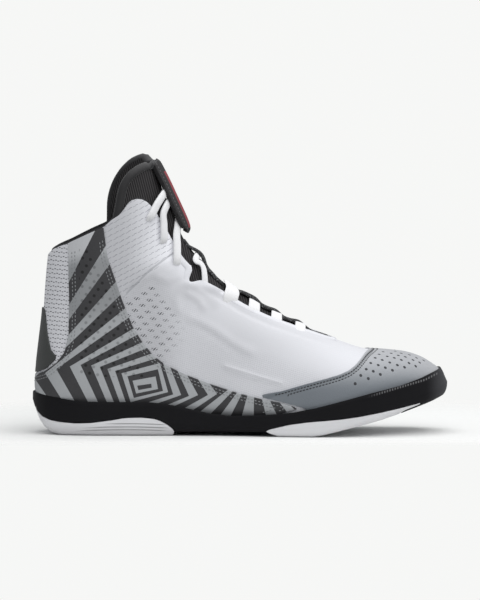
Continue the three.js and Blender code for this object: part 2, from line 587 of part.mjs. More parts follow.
// The insole: as wide as the last, passing just under the upper's open lower edge.
function makeInsole() {
  return loft(lastRings(0)).intersect(sideSlab(below(footLine(upperLiftsOffFloor - fitGap))));
}

const closedBelow = (line) => [
  ...line,
  point(line[line.length - 1].x / shoeLength, -0.05),
  point(line[0].x / shoeLength, -0.05),
];

// The cup: what is left of the sole outside the last, above the treads and, between them, off the ground.
function makeCup() {
  const forHeel = sideSlab(closedBelow(moved(sidePoints(heelTreadRows), fitGap)));
  const forForefoot = sideSlab(closedBelow(moved(sidePoints(foreTreadRows), fitGap)));
  const arch = [point(0.3, -0.05), point(0.3, midfootLift), point(0.6, midfootLift), point(0.6, -0.05)];
  return block
    .subtract(loft(lastRings(fitGap)))
    .subtract(forHeel.add(forForefoot).subtract(underFloor))
    .subtract(sideSlab(arch));
}

// One of the two treads: the sole below a side line and below the cup's floor.
function makeTread(rows) {
  const clearOfFloor = loft(lastRings(fitGap + cupFloor + fitGap));
  return block.intersect(sideSlab(closedBelow(sidePoints(rows)))).subtract(clearOfFloor);
}

// An overlay on the upper, above the cup's top edge.
function makeOverlay(rows, thickness, firstRow = 0) {
  const clearOfCup = moved(sidePoints(cupTopRows), 2 * fitGap);
  return layer(fitGap, fitGap + thickness, sidePoints(rows), firstRow).subtract(sideSlab(below(clearOfCup)));
}

// One side's strand of lace, from its eyelet over the upper's edge and down on to the tongue's middle.
function strand({ outer, crossesAt, overUpper, rise }, side, steps = 5) {
  const turnFrom = side < 0 ? outer.turn : 1 - outer.turn;
  const length = onLast(outer.row, turnFrom).distanceTo(onLast(crossesAt, 0.5));
  const stations = [];
  for (let k = 0; k <= steps; k++) {
    const t = k / steps;
    const drop = THREE.MathUtils.smoothstep(t * length, overUpper, overUpper + 6);
    const stacked = 1 - THREE.MathUtils.smoothstep((1 - t) * length, 3, 7);
    const reach = mix(turnFrom, 0.5 - side * 0.002, t);
    const thickness = mix(laceThickness, rise > 0 ? laceCrossThickness : laceThickness, stacked);
    stations.push({ row: mix(outer.row, crossesAt, t), turn: reach, out: mix(0.5, laceLies, drop), thickness });
  }
  return strip(stations, rise > 0 ? laceWidth : 0.75 * laceWidth);
}

const crossing = (pairs) =>
  pairs.flatMap((pair) => [strand(pair, -1), strand(pair, 1)]).reduce((all, one) => all.add(one));

// The keeper: webbing down the middle of the throat that rises over each crossing.
function makeKeeper() {
  const over = eyelets.filter(({ rise }) => rise > 0);
  const stations = [];
  for (let section = 15.6; section > 8.55; section -= 0.21) {
    const here = onLast(section, 0.5);
    const rises = over.map(({ crossesAt, rise }) => {
      const away = here.distanceTo(onLast(crossesAt, 0.5));
      return 1 - THREE.MathUtils.smoothstep(away, rise, rise + 2.5);
    });
    const run = THREE.MathUtils.smoothstep(section, 9.15, 9.6);
    const low = mix(0.4, laceLies, run);
    stations.push({ section, out: mix(low, laceCrossThickness + laceLies + keeperClears, Math.max(...rises)) });
  }
  return middleBand(stations, keeperWidth, keeperThickness);
}

addPiece("outsole_cup", makeCup(), colours.rubberBlack);
addPiece("heel_tread", makeTread(heelTreadRows), colours.rubberWhite);
addPiece("forefoot_tread", makeTread(foreTreadRows), colours.rubberWhite);
addPiece("upper", makeUpper(), colours.meshWhite);
addPiece("tongue", makeTongue(), colours.tongueBlack);
addPiece("insole", makeInsole(), colours.foamGrey);
addPiece("collar_lining", makeLining(), colours.tongueBlack);
addPiece("toe_cap", makeOverlay(toeCapRows, overlayThickness), colours.capGrey);
addPiece("side_wrap", makeOverlay(wrapRows, overlayThickness), colours.bandGrey);
addPiece("heel_counter", makeOverlay(counterRows, counterThickness, 12), colours.counterGrey);
addPiece("tongue_tab", middleBand(tabRows, tabWidth, tabThickness), colours.tongueBlack);
addPiece("lace_keeper", makeKeeper(), colours.tongueBlack);
addPiece("lace_top_crossing", crossing(eyelets.slice(0, 2)), colours.laceWhite);
eyelets.slice(2).forEach((pair, k) => addPiece(`lace_crossing_${k + 2}`, crossing([pair]), colours.laceWhite));

export default shoe;
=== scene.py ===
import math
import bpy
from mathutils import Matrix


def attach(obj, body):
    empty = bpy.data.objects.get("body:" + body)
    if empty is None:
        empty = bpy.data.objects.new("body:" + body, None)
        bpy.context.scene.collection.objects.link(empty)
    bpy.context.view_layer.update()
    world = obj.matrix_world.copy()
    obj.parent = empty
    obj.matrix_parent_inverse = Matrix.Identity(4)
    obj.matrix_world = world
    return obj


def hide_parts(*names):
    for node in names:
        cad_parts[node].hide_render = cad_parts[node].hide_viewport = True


bl_info = {
    "name": "Wrestling shoe",
    "version": (1, 0, 0),
    "blender": (4, 5, 0),
    "location": "View3D > Sidebar > Shoe",
    "description": "Dresses the solid frame of a high-top wrestling shoe for the right foot",
    "category": "Object",
}

import bmesh
import bpy
import numpy as np
from mathutils import Vector

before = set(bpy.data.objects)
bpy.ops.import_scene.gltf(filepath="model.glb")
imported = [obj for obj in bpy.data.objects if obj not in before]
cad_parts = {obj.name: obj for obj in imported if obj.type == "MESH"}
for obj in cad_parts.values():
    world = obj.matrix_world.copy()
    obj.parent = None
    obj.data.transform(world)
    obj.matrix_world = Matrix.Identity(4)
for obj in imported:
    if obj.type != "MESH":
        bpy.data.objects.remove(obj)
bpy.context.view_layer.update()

# Sizes in millimetres: the shoe's, its fit and its pieces' walls, then the width and thickness of the hem
# and the webbing, and the radii of a punched hole. MM is one of them in metres.
MM = 0.001
LENGTH = 288.0
HEIGHT = 194.0
BALL = 95.5
HEEL_REST = 0.175 * LENGTH
FIT = 0.3
WALL = 2.0
LINING_WALL = 1.1
CAP_WALL = 0.9
PANEL_WALL = 1.0
COUNTER_WALL = 1.3
TONGUE_WALL = 3.4
TAB_WALL = 3.2
CUP_WALL = 3.2
TREAD_WALL = 2.6
HEM_SIZE = (4.4, 1.1)
HOLE_SIZE = (1.2, 1.2, 0.12)
WEBBING_SIZE = (10.5, 2.1)
WEBBING_BEND = 0.8

# The arch under the sole: its lift as a share of the height, and its span as shares of the length.
ARCH_LIFT = 0.013
ARCH_SPAN = (0.3, 0.6)

# The last's top section, and the one at the heel's corner, counted from the toe.
LAST_TOP = 27
HEEL_CORNER = 17

# Gaps and insets in millimetres: how far an overlay goes down behind the cup and its stitches stay above
# it, the sole's gap round a tread, the collar's lower inner side, the lining's rise over the knit, how far
# inside its edge the hem runs and how near its line it stays, how far inside their edges the rows of
# stitches run, and how far they stay from the collar.
BEHIND_CUP = 1.5
TREAD_GAP = 0.15
INNER_DROP = 0.4
LINING_RISE = 1.1
HEM_INSET = 1.9
HEM_REACH = 3.4
CAP_INSETS = (1.7, 3.6)
PANEL_INSETS = (2.0, 4.0)
COLLAR_CLEAR = 7

# The sole's side from its foot to its top: shares of the height with how far it lies inside its outline
# in millimetres, and with the share of the toe's lean.
SOLE_INSET = ([0, 0.02, 0.06, 0.16, 0.34, 0.9, 1], [4.0, 3.0, 1.8, 0.6, 0, 0.1, 0.5])
SOLE_LEAN = ([0, 0.34, 0.8, 1], [0, 0, 0.62, 1])
TOE_LEAN = 4.6
SOLE_STEPS = 131

# The tab's bend across: half its width and how far its edges drop back, in millimetres.
TAB_HALF = 12.6
TAB_SAG = 4.6

# Stitches in millimetres: from one to the next, their length and their width.
CAP_STITCH = (2.3, 1.9, 0.9)
PANEL_STITCH = (2.6, 1.7, 0.75)
TAB_STITCH = (2.6, 1.6, 0.7)

# Sections of the last from the toe to above the collar: both ends in the side view as shares of the
# length and the height, half width and sideways shift as shares of the ball width, how far up the
# section it is widest, and the exponents of its curve above and below that place.
LAST_COLUMNS = "top_x top_z low_x low_z half mid widest top_round low_round".split()
LAST_ROWS = np.array([
    (0.984, 0.191, 0.984, 0.152, 0.063, 0.110, 0.45, 2.20, 2.6),
    (0.980, 0.214, 0.978, 0.145, 0.126, 0.107, 0.42, 2.20, 2.8),
    (0.971, 0.228, 0.968, 0.139, 0.188, 0.100, 0.40, 2.20, 3.0),
    (0.957, 0.243, 0.950, 0.130, 0.251, 0.085, 0.38, 2.20, 3.2),
    (0.933, 0.264, 0.923, 0.118, 0.314, 0.062, 0.36, 2.25, 3.2),
    (0.896, 0.282, 0.887, 0.102, 0.372, 0.036, 0.35, 2.30, 3.2),
    (0.848, 0.291, 0.841, 0.080, 0.424, 0.010, 0.34, 2.30, 3.2),
    (0.800, 0.298, 0.793, 0.061, 0.455, -0.008, 0.33, 2.30, 3.2),
    (0.752, 0.320, 0.747, 0.044, 0.466, -0.020, 0.32, 2.25, 3.2),
    (0.692, 0.357, 0.690, 0.034, 0.450, -0.034, 0.31, 2.20, 3.2),
    (0.620, 0.402, 0.620, 0.030, 0.403, -0.048, 0.30, 2.15, 3.2),
    (0.548, 0.455, 0.552, 0.032, 0.351, -0.055, 0.29, 2.10, 3.2),
    (0.487, 0.511, 0.495, 0.038, 0.317, -0.050, 0.28, 2.10, 3.2),
    (0.434, 0.573, 0.434, 0.041, 0.304, -0.040, 0.27, 2.10, 3.2),
    (0.406, 0.627, 0.355, 0.043, 0.307, -0.028, 0.26, 2.10, 3.2),
    (0.382, 0.673, 0.266, 0.043, 0.317, -0.015, 0.26, 2.10, 3.2),
    (0.362, 0.716, 0.172, 0.045, 0.330, -0.006, 0.28, 2.10, 3.2),
    (0.347, 0.752, 0.090, 0.050, 0.340, 0.000, 0.32, 2.10, 3.1),
    (0.336, 0.786, 0.034, 0.082, 0.351, 0.000, 0.38, 2.10, 2.9),
    (0.327, 0.816, 0.010, 0.152, 0.359, 0.000, 0.42, 2.10, 2.5),
    (0.321, 0.843, 0.012, 0.241, 0.364, 0.000, 0.45, 2.10, 2.3),
    (0.315, 0.870, 0.019, 0.334, 0.364, 0.000, 0.47, 2.10, 2.2),
    (0.310, 0.898, 0.026, 0.423, 0.361, 0.000, 0.48, 2.10, 2.1),
    (0.306, 0.927, 0.030, 0.512, 0.356, 0.000, 0.48, 2.10, 2.1),
    (0.301, 0.955, 0.035, 0.602, 0.351, 0.000, 0.48, 2.10, 2.1),
    (0.297, 0.984, 0.042, 0.684, 0.346, 0.000, 0.48, 2.10, 2.1),
    (0.294, 1.012, 0.049, 0.762, 0.340, 0.000, 0.48, 2.10, 2.1),
    (0.290, 1.045, 0.057, 0.848, 0.335, 0.000, 0.48, 2.10, 2.1),
])

# The sole's outline in plan from the heel to the toe: place along, half width and sideways shift.
SOLE_ROWS = np.array([
    (0.000, 0.000, 0.000), (0.004, 0.095, 0.000), (0.016, 0.180, 0.000), (0.040, 0.262, 0.000),
    (0.080, 0.318, -0.003), (0.140, 0.348, -0.006), (0.210, 0.354, -0.010), (0.300, 0.346, -0.020),
    (0.380, 0.336, -0.030), (0.440, 0.335, -0.040), (0.500, 0.350, -0.050), (0.560, 0.390, -0.055),
    (0.620, 0.438, -0.048), (0.690, 0.484, -0.034), (0.750, 0.500, -0.020), (0.800, 0.490, -0.008),
    (0.850, 0.460, 0.010), (0.900, 0.406, 0.038), (0.940, 0.340, 0.064), (0.968, 0.270, 0.085),
    (0.988, 0.180, 0.100), (0.997, 0.092, 0.108), (1.000, 0.000, 0.112),
])

# Outlines in the side view: (share of the length from the heel, share of the height).
CUP_TOP = [
    (-0.01, 0.150), (0.032, 0.141), (0.066, 0.132), (0.120, 0.121), (0.200, 0.120), (0.283, 0.120),
    (0.331, 0.111), (0.379, 0.096), (0.427, 0.080), (0.475, 0.0715), (0.550, 0.076), (0.620, 0.086),
    (0.680, 0.104), (0.740, 0.1275), (0.812, 0.156), (0.884, 0.180), (0.933, 0.202), (0.961, 0.218),
    (0.980, 0.2275), (1.010, 0.233),
]
GROUND = [
    (-0.01, 0.110), (0.001, 0.102), (0.008, 0.082), (0.018, 0.048), (0.032, 0.024), (0.047, 0.009),
    (0.071, 0.000), (0.672, 0.000), (0.700, 0.007), (0.740, 0.022), (0.788, 0.040), (0.836, 0.058),
    (0.884, 0.080), (0.957, 0.116), (0.988, 0.134), (1.010, 0.160),
]
HEEL_TREAD = [
    (-0.02, 0.118), (0.001, 0.112), (0.011, 0.081), (0.023, 0.062), (0.042, 0.048), (0.066, 0.041),
    (0.102, 0.036), (0.138, 0.037), (0.187, 0.046), (0.220, 0.055), (0.260, 0.057), (0.290, 0.053),
    (0.307, 0.045), (0.326, 0.030), (0.337, 0.016), (0.342, 0.004), (0.338, -0.005), (0.325, -0.014),
    (0.300, -0.050), (-0.02, -0.050),
]
FORE_TREAD = [
    (0.610, -0.050), (0.590, -0.010), (0.566, 0.001), (0.561, 0.007), (0.566, 0.012), (0.584, 0.019),
    (0.620, 0.031), (0.660, 0.039), (0.740, 0.049), (0.788, 0.059), (0.836, 0.073), (0.884, 0.0895),
    (0.912, 0.1005), (0.934, 0.1095), (0.939, 0.107), (0.900, 0.085), (0.860, 0.050), (0.860, -0.050),
]
COLLAR = [
    (0.000, 0.600), (0.034, 0.632), (0.040, 0.646), (0.049, 0.658), (0.062, 0.667), (0.090, 0.682),
    (0.138, 0.716), (0.172, 0.738), (0.190, 0.762), (0.208, 0.779), (0.220, 0.798), (0.230, 0.820),
    (0.240, 0.833), (0.252, 0.838), (0.264, 0.836), (0.276, 0.827), (0.290, 0.806),
]
THROAT = [
    (0.300, 0.784), (0.312, 0.755), (0.326, 0.720), (0.341, 0.680), (0.357, 0.637), (0.372, 0.609),
    (0.383, 0.600), (0.384, 0.580), (0.373, 0.550), (0.378, 0.537), (0.408, 0.548), (0.434, 0.529),
    (0.456, 0.512), (0.511, 0.461), (0.569, 0.421), (0.629, 0.389), (0.668, 0.370), (0.716, 0.3465),
]
TONGUE_FRONT = [
    (0.310, 0.985), (0.400, 0.900), (0.780, 0.500), (0.760, 0.330), (0.740, 0.322), (0.700, 0.337),
    (0.620, 0.372), (0.500, 0.452), (0.420, 0.500), (0.360, 0.530), (0.310, 0.580), (0.250, 0.620),
]
HEM_LINE = THROAT[4:]
RELIEF_LINE = THROAT[5:]
OPENING = [*COLLAR, *THROAT, (1.1, THROAT[-1][1]), (1.1, 1.3), (-0.1, 1.3), (-0.1, COLLAR[0][1])]
NEAR_FLAP = [
    (0.192, 0.700), (0.193, 0.760), (0.200, 0.816), (0.206, 0.868), (0.215, 0.905), (0.231, 0.934),
    (0.255, 0.960), (0.279, 0.974), (0.296, 0.972), *TONGUE_FRONT,
]
FAR_FLAP = [
    (0.176, 0.660), (0.180, 0.766), (0.180, 0.830), (0.185, 0.870), (0.195, 0.908), (0.212, 0.948),
    (0.236, 0.983), (0.260, 0.998), (0.276, 0.998), (0.287, 0.975), *TONGUE_FRONT,
]
TOE_CAP = [
    (0.552, 0.129), (0.553, 0.139), (0.600, 0.151), (0.644, 0.170), (0.692, 0.189), (0.735, 0.207),
    (0.759, 0.222), (0.776, 0.241), (0.790, 0.266), (0.802, 0.290), (0.815, 0.305), (0.840, 0.340),
    (1.100, 0.340), (1.100, 0.050), (0.700, 0.050), (0.651, 0.0925), (0.600, 0.1135),
]
CAP_EDGE = TOE_CAP[1:12]
WRAP = [
    (0.086, 0.720), (0.088, 0.640), (0.0885, 0.560), (0.090, 0.477), (0.088, 0.352), (0.078, 0.291),
    (0.059, 0.253), (0.030, 0.221), (-0.02, 0.200), (-0.02, 0.100), (0.500, 0.030), (0.640, 0.090),
    (0.600, 0.1085), (0.552, 0.122), (0.500, 0.142), (0.427, 0.177), (0.370, 0.209), (0.320, 0.245),
    (0.290, 0.280),
    (0.264, 0.327), (0.240, 0.385), (0.215, 0.477), (0.196, 0.560), (0.180, 0.630), (0.175, 0.690),
    (0.171, 0.735), (0.171, 0.780),
]
COUNTER = [
    (-0.02, 0.460), (0.024, 0.458), (0.031, 0.440), (0.034, 0.400), (0.037, 0.352), (0.045, 0.298),
    (0.058, 0.275), (0.056, 0.264), (0.032, 0.230), (-0.02, 0.207),
]

# Where the toe cap's punched holes show in the photograph, in pixels, by slanting row.
CAP_HOLES = [
    (355, 384), (360.5, 376), (366, 370), (370.5, 364), (375, 359), (379, 355.5), (383, 353),
    (368, 379), (373, 372), (378, 366), (382, 361), (387, 357.5), (391, 354.5), (395, 352.5),
    (380, 375), (385, 368.5), (389.5, 363.5), (394, 359), (398, 356.5), (401, 354.5),
    (392, 371), (397, 366), (401, 361), (405, 358), (409, 356),
    (404, 368), (408.5, 364), (412.5, 361), (416, 359),
    (415, 367), (419, 363.5), (423, 361.5),
]

# Each lace from its eyelet on the outer side up to the throat's middle: the pixels that it passes and how
# far off the last it lies there in millimetres, then the section and height where it crosses the middle,
# its width and its thickness.
LACES = [
    ([(149.5, 218.5, -2.6), (149.5, 216, 0.6), (153, 208.5, 0.9), (157, 201, 1.0)], (20.75, 0.5), 5.8, 2.7),
    ([(163.2, 241.5, -2.6), (162.6, 238, 0.6), (161.8, 225, 1.1), (161.6, 211, 1.2)], (19.45, 0.8), 5.6, 2.7),
    ([(176.6, 263.5, -2.6), (176.4, 260, 0.6), (175.8, 246, 1.0), (175.0, 233, 1.0)], (17.2, 0.4), 5.6, 2.5),
    ([(206, 287, -3.2), (205, 280, -0.9), (203, 270, 0.2), (200, 264.5, 0.4), (195, 260.5, 0.1)],
     (14.2, -1.6), 4.5, 1.6),
    ([(230, 304, -3.2), (230.5, 297, 0.3), (231.5, 291, 0.8)], (12.25, 0.1), 10.5, 1.8),
    ([(254, 316, -3.2), (254, 309.5, -0.5), (254, 303, 0.3)], (11.25, -0.1), 8.4, 1.5),
    ([(276, 325, -3.2), (276, 319, -0.5), (276, 314, 0.3)], (10.47, -0.1), 8.0, 1.5),
    ([(300, 334, -3.2), (300, 329.5, -0.5), (300, 325, 0.3)], (9.68, -0.1), 7.6, 1.5),
]
LACE_NODES = [(), ("lace_top_crossing",), *((f"lace_crossing_{k}",) for k in range(2, 8))]

# The webbing's underside down the throat's middle: the section and its height off the last in millimetres.
WEBBING = [
    (15.5, -3.0), (14.95, -2.8), (14.7, -1.3), (14.5, -0.3), (14.25, 0.8), (14.0, 0.9), (13.75, 0.1),
    (13.5, -0.9), (13.25, -1.3), (13.0, -1.2), (12.75, -1.9), (12.5, -2.0), (12.2, -2.0), (12.0, -1.2),
    (11.75, 1.1), (11.5, 1.9), (11.25, 2.2), (11.0, 0.3), (10.75, 0.5), (10.5, 1.6), (10.25, -0.7),
    (10.0, -0.3), (9.75, 1.4), (9.5, -0.8), (9.25, -2.2), (9.0, -1.4), (8.72, -0.9),
]

# The tongue's swelling down its middle: the share of the length and its height in millimetres.
CROWN = [
    (0.300, 0.0), (0.316, 2.0), (0.322, 2.4), (0.328, 3.7), (0.334, 4.3), (0.339, 3.8), (0.344, 2.2),
    (0.360, 0.8), (0.372, 0.0), (0.395, 0.0), (0.412, 0.5), (0.434, 0.4), (0.452, 0.0), (0.475, 0.0),
    (0.490, 1.2), (0.499, 2.9), (0.516, 3.2), (0.535, 2.8), (0.550, 1.9), (0.583, 2.3), (0.602, 0.4),
    (0.620, 0.9), (0.638, 2.1), (0.657, 0.5), (0.675, -0.5), (0.692, 0.1), (0.720, 0.3),
]

# Soft ridges and troughs of the upper in the side view, with their heights and half widths in millimetres.
FOLDS = [
    ([(0.347, 0.655), (0.300, 0.600), (0.262, 0.556), (0.225, 0.500)], -0.88, 1.3),
    ([(0.340, 0.640), (0.292, 0.585), (0.252, 0.538)], 0.8, 2.4),
    ([(0.380, 0.415), (0.439, 0.370), (0.485, 0.318), (0.525, 0.292)], 0.72, 3.4),
    ([(0.398, 0.385), (0.450, 0.340), (0.490, 0.300)], -0.4, 3.0),
    ([(0.372, 0.536), (0.400, 0.520), (0.440, 0.517)], 1.44, 3.2),
    ([(0.375, 0.500), (0.400, 0.478), (0.410, 0.455)], 0.96, 2.6),
    ([(0.358, 0.530), (0.345, 0.480), (0.352, 0.440)], 0.8, 2.8),
    ([(0.300, 0.560), (0.330, 0.545), (0.352, 0.560)], 0.64, 2.2),
    ([(0.463, 0.240), (0.530, 0.205), (0.600, 0.180)], 0.56, 2.0),
]

# The tab's outer face down its middle, in pixels, and half its width in millimetres.
TAB_LINE = [
    (156.5, 158.2, 11.5), (160.5, 161, 12.2), (165, 169, 12.5), (171, 181, 12.6), (177, 194, 12.6),
    (182.5, 206, 12.6), (187, 216, 12.4), (190, 224, 11.6), (190.5, 229, 9.8), (188.5, 233, 7.0),
]

# The photograph's frame: its height and middle, the heel's back, the ground, and pixels for a millimetre.
PHOTO_HEIGHT = 600
MIDDLE_PX = (240, 300)
HEEL_PX = 32.5
GROUND_PX = 433.5
PX_PER_MM = 415.5 / LENGTH

# The viewer on the outer side: how far away, how steeply it looks down, what it looks at, and how much
# higher than the solids' side view it sees the ground, in millimetres and radians, with the camera's
# sensor width in millimetres.
EYE_AWAY = 4000.0
EYE_RISE = math.radians(3.5)
EYE_AT = ((MIDDLE_PX[0] - HEEL_PX) / PX_PER_MM, (GROUND_PX - MIDDLE_PX[1]) / PX_PER_MM)
EYE_LIFT = 1.5 / PX_PER_MM
SENSOR = 36

# The lights: name, place and size in metres, and power in watts, with the point that they are aimed at.
LIGHTS = (
    ("top", (0.2, 0.1, 1.5), 1.2, 9.5),
    ("key", (0.3, -1.4, 1.3), 1.2, 8.0),
    ("toe_side", (1.2, -0.6, 1.4), 1.0, 9.0),
)
LIT_POINT = (0.09, 0, 0.07)


class ShoeSettings(bpy.types.PropertyGroup):
    """Sizes and colours that a user would change."""

    knit_colour: bpy.props.FloatVectorProperty(
        name="Knit colour", description="Colour of the white knitted upper", subtype="COLOR",
        size=3, min=0, max=1, default=(0.735, 0.74, 0.775))
    band_dark: bpy.props.FloatVectorProperty(
        name="Dark bands", description="Colour of the side panel's dark bands", subtype="COLOR",
        size=3, min=0, max=1, default=(0.036, 0.035, 0.038))
    band_light: bpy.props.FloatVectorProperty(
        name="Light bands", description="Colour of the side panel's light bands", subtype="COLOR",
        size=3, min=0, max=1, default=(0.45, 0.465, 0.48))
    cap_colour: bpy.props.FloatVectorProperty(
        name="Toe cap colour", description="Colour of the grey toe cap", subtype="COLOR",
        size=3, min=0, max=1, default=(0.50, 0.51, 0.535))
    rubber_colour: bpy.props.FloatVectorProperty(
        name="Cup colour", description="Colour of the black rubber cup", subtype="COLOR",
        size=3, min=0, max=1, default=(0.004, 0.0039, 0.005))
    tread_colour: bpy.props.FloatVectorProperty(
        name="Tread colour", description="Colour of the white rubber treads", subtype="COLOR",
        size=3, min=0, max=1, default=(0.72, 0.72, 0.74))
    lace_colour: bpy.props.FloatVectorProperty(
        name="Lace colour", description="Colour of the laces", subtype="COLOR",
        size=3, min=0, max=1, default=(0.9, 0.9, 0.91))
    rim_radius: bpy.props.FloatProperty(
        name="Rim radius", description="Radius of the tongue's bound edge", subtype="DISTANCE",
        default=0.0024, min=0.001, max=0.004)


def clear_selection():
    """Deselects everything in object mode."""
    if bpy.context.object and bpy.context.object.mode != "OBJECT":
        bpy.ops.object.mode_set(mode="OBJECT")
    bpy.ops.object.select_all(action="DESELECT")


def pick(obj):
    """Makes obj the only selected and the active object."""
    clear_selection()
    obj.select_set(True)
    bpy.context.view_layer.objects.active = obj
    return obj


def new_grid(name, points):
    """A grid primitive moved on to points, an array of rows by columns by three, in metres."""
    clear_selection()
    rows, columns = points.shape[:2]
    bpy.ops.mesh.primitive_grid_add(x_subdivisions=columns - 1, y_subdivisions=rows - 1, size=1)
    obj = bpy.context.object
    obj.name = obj.data.name = name
    obj.data.vertices.foreach_set("co", np.ascontiguousarray(points, dtype=np.float32).ravel())
    obj.data.update()
    return obj


def modifier(obj, kind, **settings):
    """Adds a modifier with its settings and applies it."""
    pick(obj)
    bpy.ops.object.modifier_add(type=kind)
    added = obj.modifiers[-1]
    for key, value in settings.items():
        setattr(added, key, value)
    bpy.ops.object.modifier_apply(modifier=added.name)


def edit(obj, *steps):
    """Runs edit-mode operators on the whole of obj, each with its settings."""
    pick(obj)
    bpy.ops.object.mode_set(mode="EDIT")
    bpy.ops.mesh.select_all(action="SELECT")
    for operator, settings in steps:
        operator(**settings)
    bpy.ops.object.mode_set(mode="OBJECT")


def smooth(obj, degrees=40):
    """Smooth shading except over edges sharper than an angle."""
    pick(obj)
    bpy.ops.object.shade_smooth_by_angle(angle=math.radians(degrees))


def settle(obj, finish, slot, *stands_for):
    """Gives a finished piece its material and its body, and hides the nodes that it replaces; its slot is not
    used.
    """
    obj.data.materials.clear()
    obj.data.materials.append(finish)
    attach(obj, "root")
    if stands_for:
        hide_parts(*stands_for)


def finish_sheet(obj, wall, finish, slot, node, inward=True, edge=0.3):
    """Gives an open sheet its wall, its shading, its material and the node that it replaces."""
    thicken(obj, wall, inward, edge)
    smooth(obj)
    settle(obj, finish, slot, node)


def spline(values, at):
    """Smooth values through evenly counted ones, at fractional places."""
    values = np.asarray(values, dtype=float)
    i = np.clip(np.floor(at).astype(int), 0, len(values) - 2)
    t = (at - i)[..., None] if values.ndim > 1 else at - i
    padded = np.concatenate([2 * values[:1] - values[1:2], values, 2 * values[-1:] - values[-2:-1]])
    p0, p1, p2, p3 = (padded[i + k] for k in range(4))
    return p1 + 0.5 * t * (p2 - p0 + t * (2 * p0 - 5 * p1 + 4 * p2 - p3 + t * (3 * (p1 - p2) + p3 - p0)))


def section(row, turns):
    """Points of one section of the last, in millimetres, at turns from its low end by the outer side."""
    values = dict(zip(LAST_COLUMNS, spline(LAST_ROWS, np.array(float(row)))))
    low = np.array([values["low_x"] * LENGTH, values["low_z"] * HEIGHT])
    top = np.array([values["top_x"] * LENGTH, values["top_z"] * HEIGHT])
    span = np.hypot(*(top - low))
    angle = np.linspace(-math.pi / 2, math.pi / 2, 181)
    lower = angle < 0
    power = 2 / np.where(lower, values["low_round"], values["top_round"])
    reach = np.where(lower, values["widest"], 1 - values["widest"])
    up = values["widest"] + np.sign(angle) * reach * np.abs(np.sin(angle)) ** power
    out = values["half"] * BALL * np.abs(np.cos(angle)) ** power
    lengths = np.concatenate([[0], np.cumsum(np.hypot(np.diff(up * span), np.diff(out)))])
    turns = np.mod(turns, 1.0)
    share = np.where(turns <= 0.5, turns, 1 - turns) * 2 * lengths[-1]
    ups, outs = np.interp(share, lengths, up), np.interp(share, lengths, out)
    side = np.where(turns <= 0.5, -1, 1)
    place = low + (top - low) * ups[:, None]
    return np.stack([place[:, 0], values["mid"] * BALL + side * outs, place[:, 1]], axis=1)


def on_last(row, turn, out=0.0):
    """One point on the last's surface, or a distance in millimetres off it."""
    here = section(row, np.array([turn]))[0]
    if not out:
        return here
    step = 0.02
    along = section(row + 0.1, np.array([turn]))[0] - section(row - 0.1, np.array([turn]))[0]
    pair = section(row, np.array([turn - step, turn + step]))
    normal = np.cross(pair[1] - pair[0], along)
    return here + out * normal / np.linalg.norm(normal)


def whole_turn(turns):
    """Whether turns run all the way round the last."""
    return abs(turns[-1] - turns[0] - 1) < 1e-9


def last_grid(rows, turns, out=0.0, relief=None):
    """The last's surface as an array of rows by turns of points, moved off by out and by the relief."""
    points = np.stack([section(row, turns) for row in rows])
    along = np.gradient(points, axis=0)
    if whole_turn(turns):
        ring = points[:, :-1]
        around = (np.roll(ring, -1, axis=1) - np.roll(ring, 1, axis=1)) / 2
        around = np.concatenate([around, around[:, :1]], axis=1)
    else:
        around = np.gradient(points, axis=1)
    normals = np.cross(around, along)
    normals /= np.linalg.norm(normals, axis=2, keepdims=True) + 1e-12
    offset = out if relief is None else out + relief(points)[..., None]
    return points + normals * offset


def to_frame(points):
    """Millimetres from the heel's back to metres in the row frame."""
    return (np.asarray(points) - [HEEL_REST, 0, 0]) * MM


def from_frame(points):
    """Metres in the row frame to millimetres from the heel's back."""
    return points / MM + [HEEL_REST, 0, 0]


def photo_to_side(px, py):
    """The photograph's pixels as millimetres along the shoe and above the ground."""
    return (px - HEEL_PX) / PX_PER_MM, (GROUND_PX - py) / PX_PER_MM


def side_points(shares):
    """Shares in the side view as millimetres."""
    return np.array(shares) * [LENGTH, HEIGHT]


def seen(points, mirrored=True):
    """Points moved in the side view to where the viewer sees them; the inner side mirrors the outer one."""
    y = -np.abs(points[..., 1]) if mirrored else points[..., 1]
    up = points[..., 2] - EYE_AT[1]
    near = EYE_AWAY / (EYE_AWAY + y * math.cos(EYE_RISE) - up * math.sin(EYE_RISE))
    x = EYE_AT[0] + (points[..., 0] - EYE_AT[0]) * near
    z = EYE_AT[1] + (up * math.cos(EYE_RISE) + y * math.sin(EYE_RISE)) * near + EYE_LIFT
    return np.stack([x, points[..., 1], z], axis=-1)


def to_stretch(p, a, b):
    """Distance from points in the side view to the stretch from a to b."""
    along = b - a
    t = np.clip(((p - a) @ along) / (along @ along), 0, 1)
    return np.linalg.norm(p - a - t[..., None] * along, axis=-1)


def inside(points, outline):
    """Signed distance in millimetres to a closed outline in the side view, above nought inside it."""
    p = points[..., [0, 2]].reshape(-1, 2)
    corners = side_points(outline)
    best = np.full(len(p), np.inf)
    odd = np.zeros(len(p), dtype=bool)
    for a, b in zip(corners, np.roll(corners, -1, axis=0)):
        best = np.minimum(best, to_stretch(p, a, b))
        crosses = (a[1] > p[:, 1]) != (b[1] > p[:, 1])
        rise = b[1] - a[1] or 1.0
        odd ^= crosses & (p[:, 0] < a[0] + (p[:, 1] - a[1]) * (b[0] - a[0]) / rise)
    return np.where(odd, best, -best).reshape(points.shape[:-1])


def above_line(points, line, lift=0.0):
    """Height in millimetres above a side line, for points in millimetres."""
    line = side_points(line)
    return points[..., 2] - np.interp(points[..., 0], line[:, 0], line[:, 1]) - lift


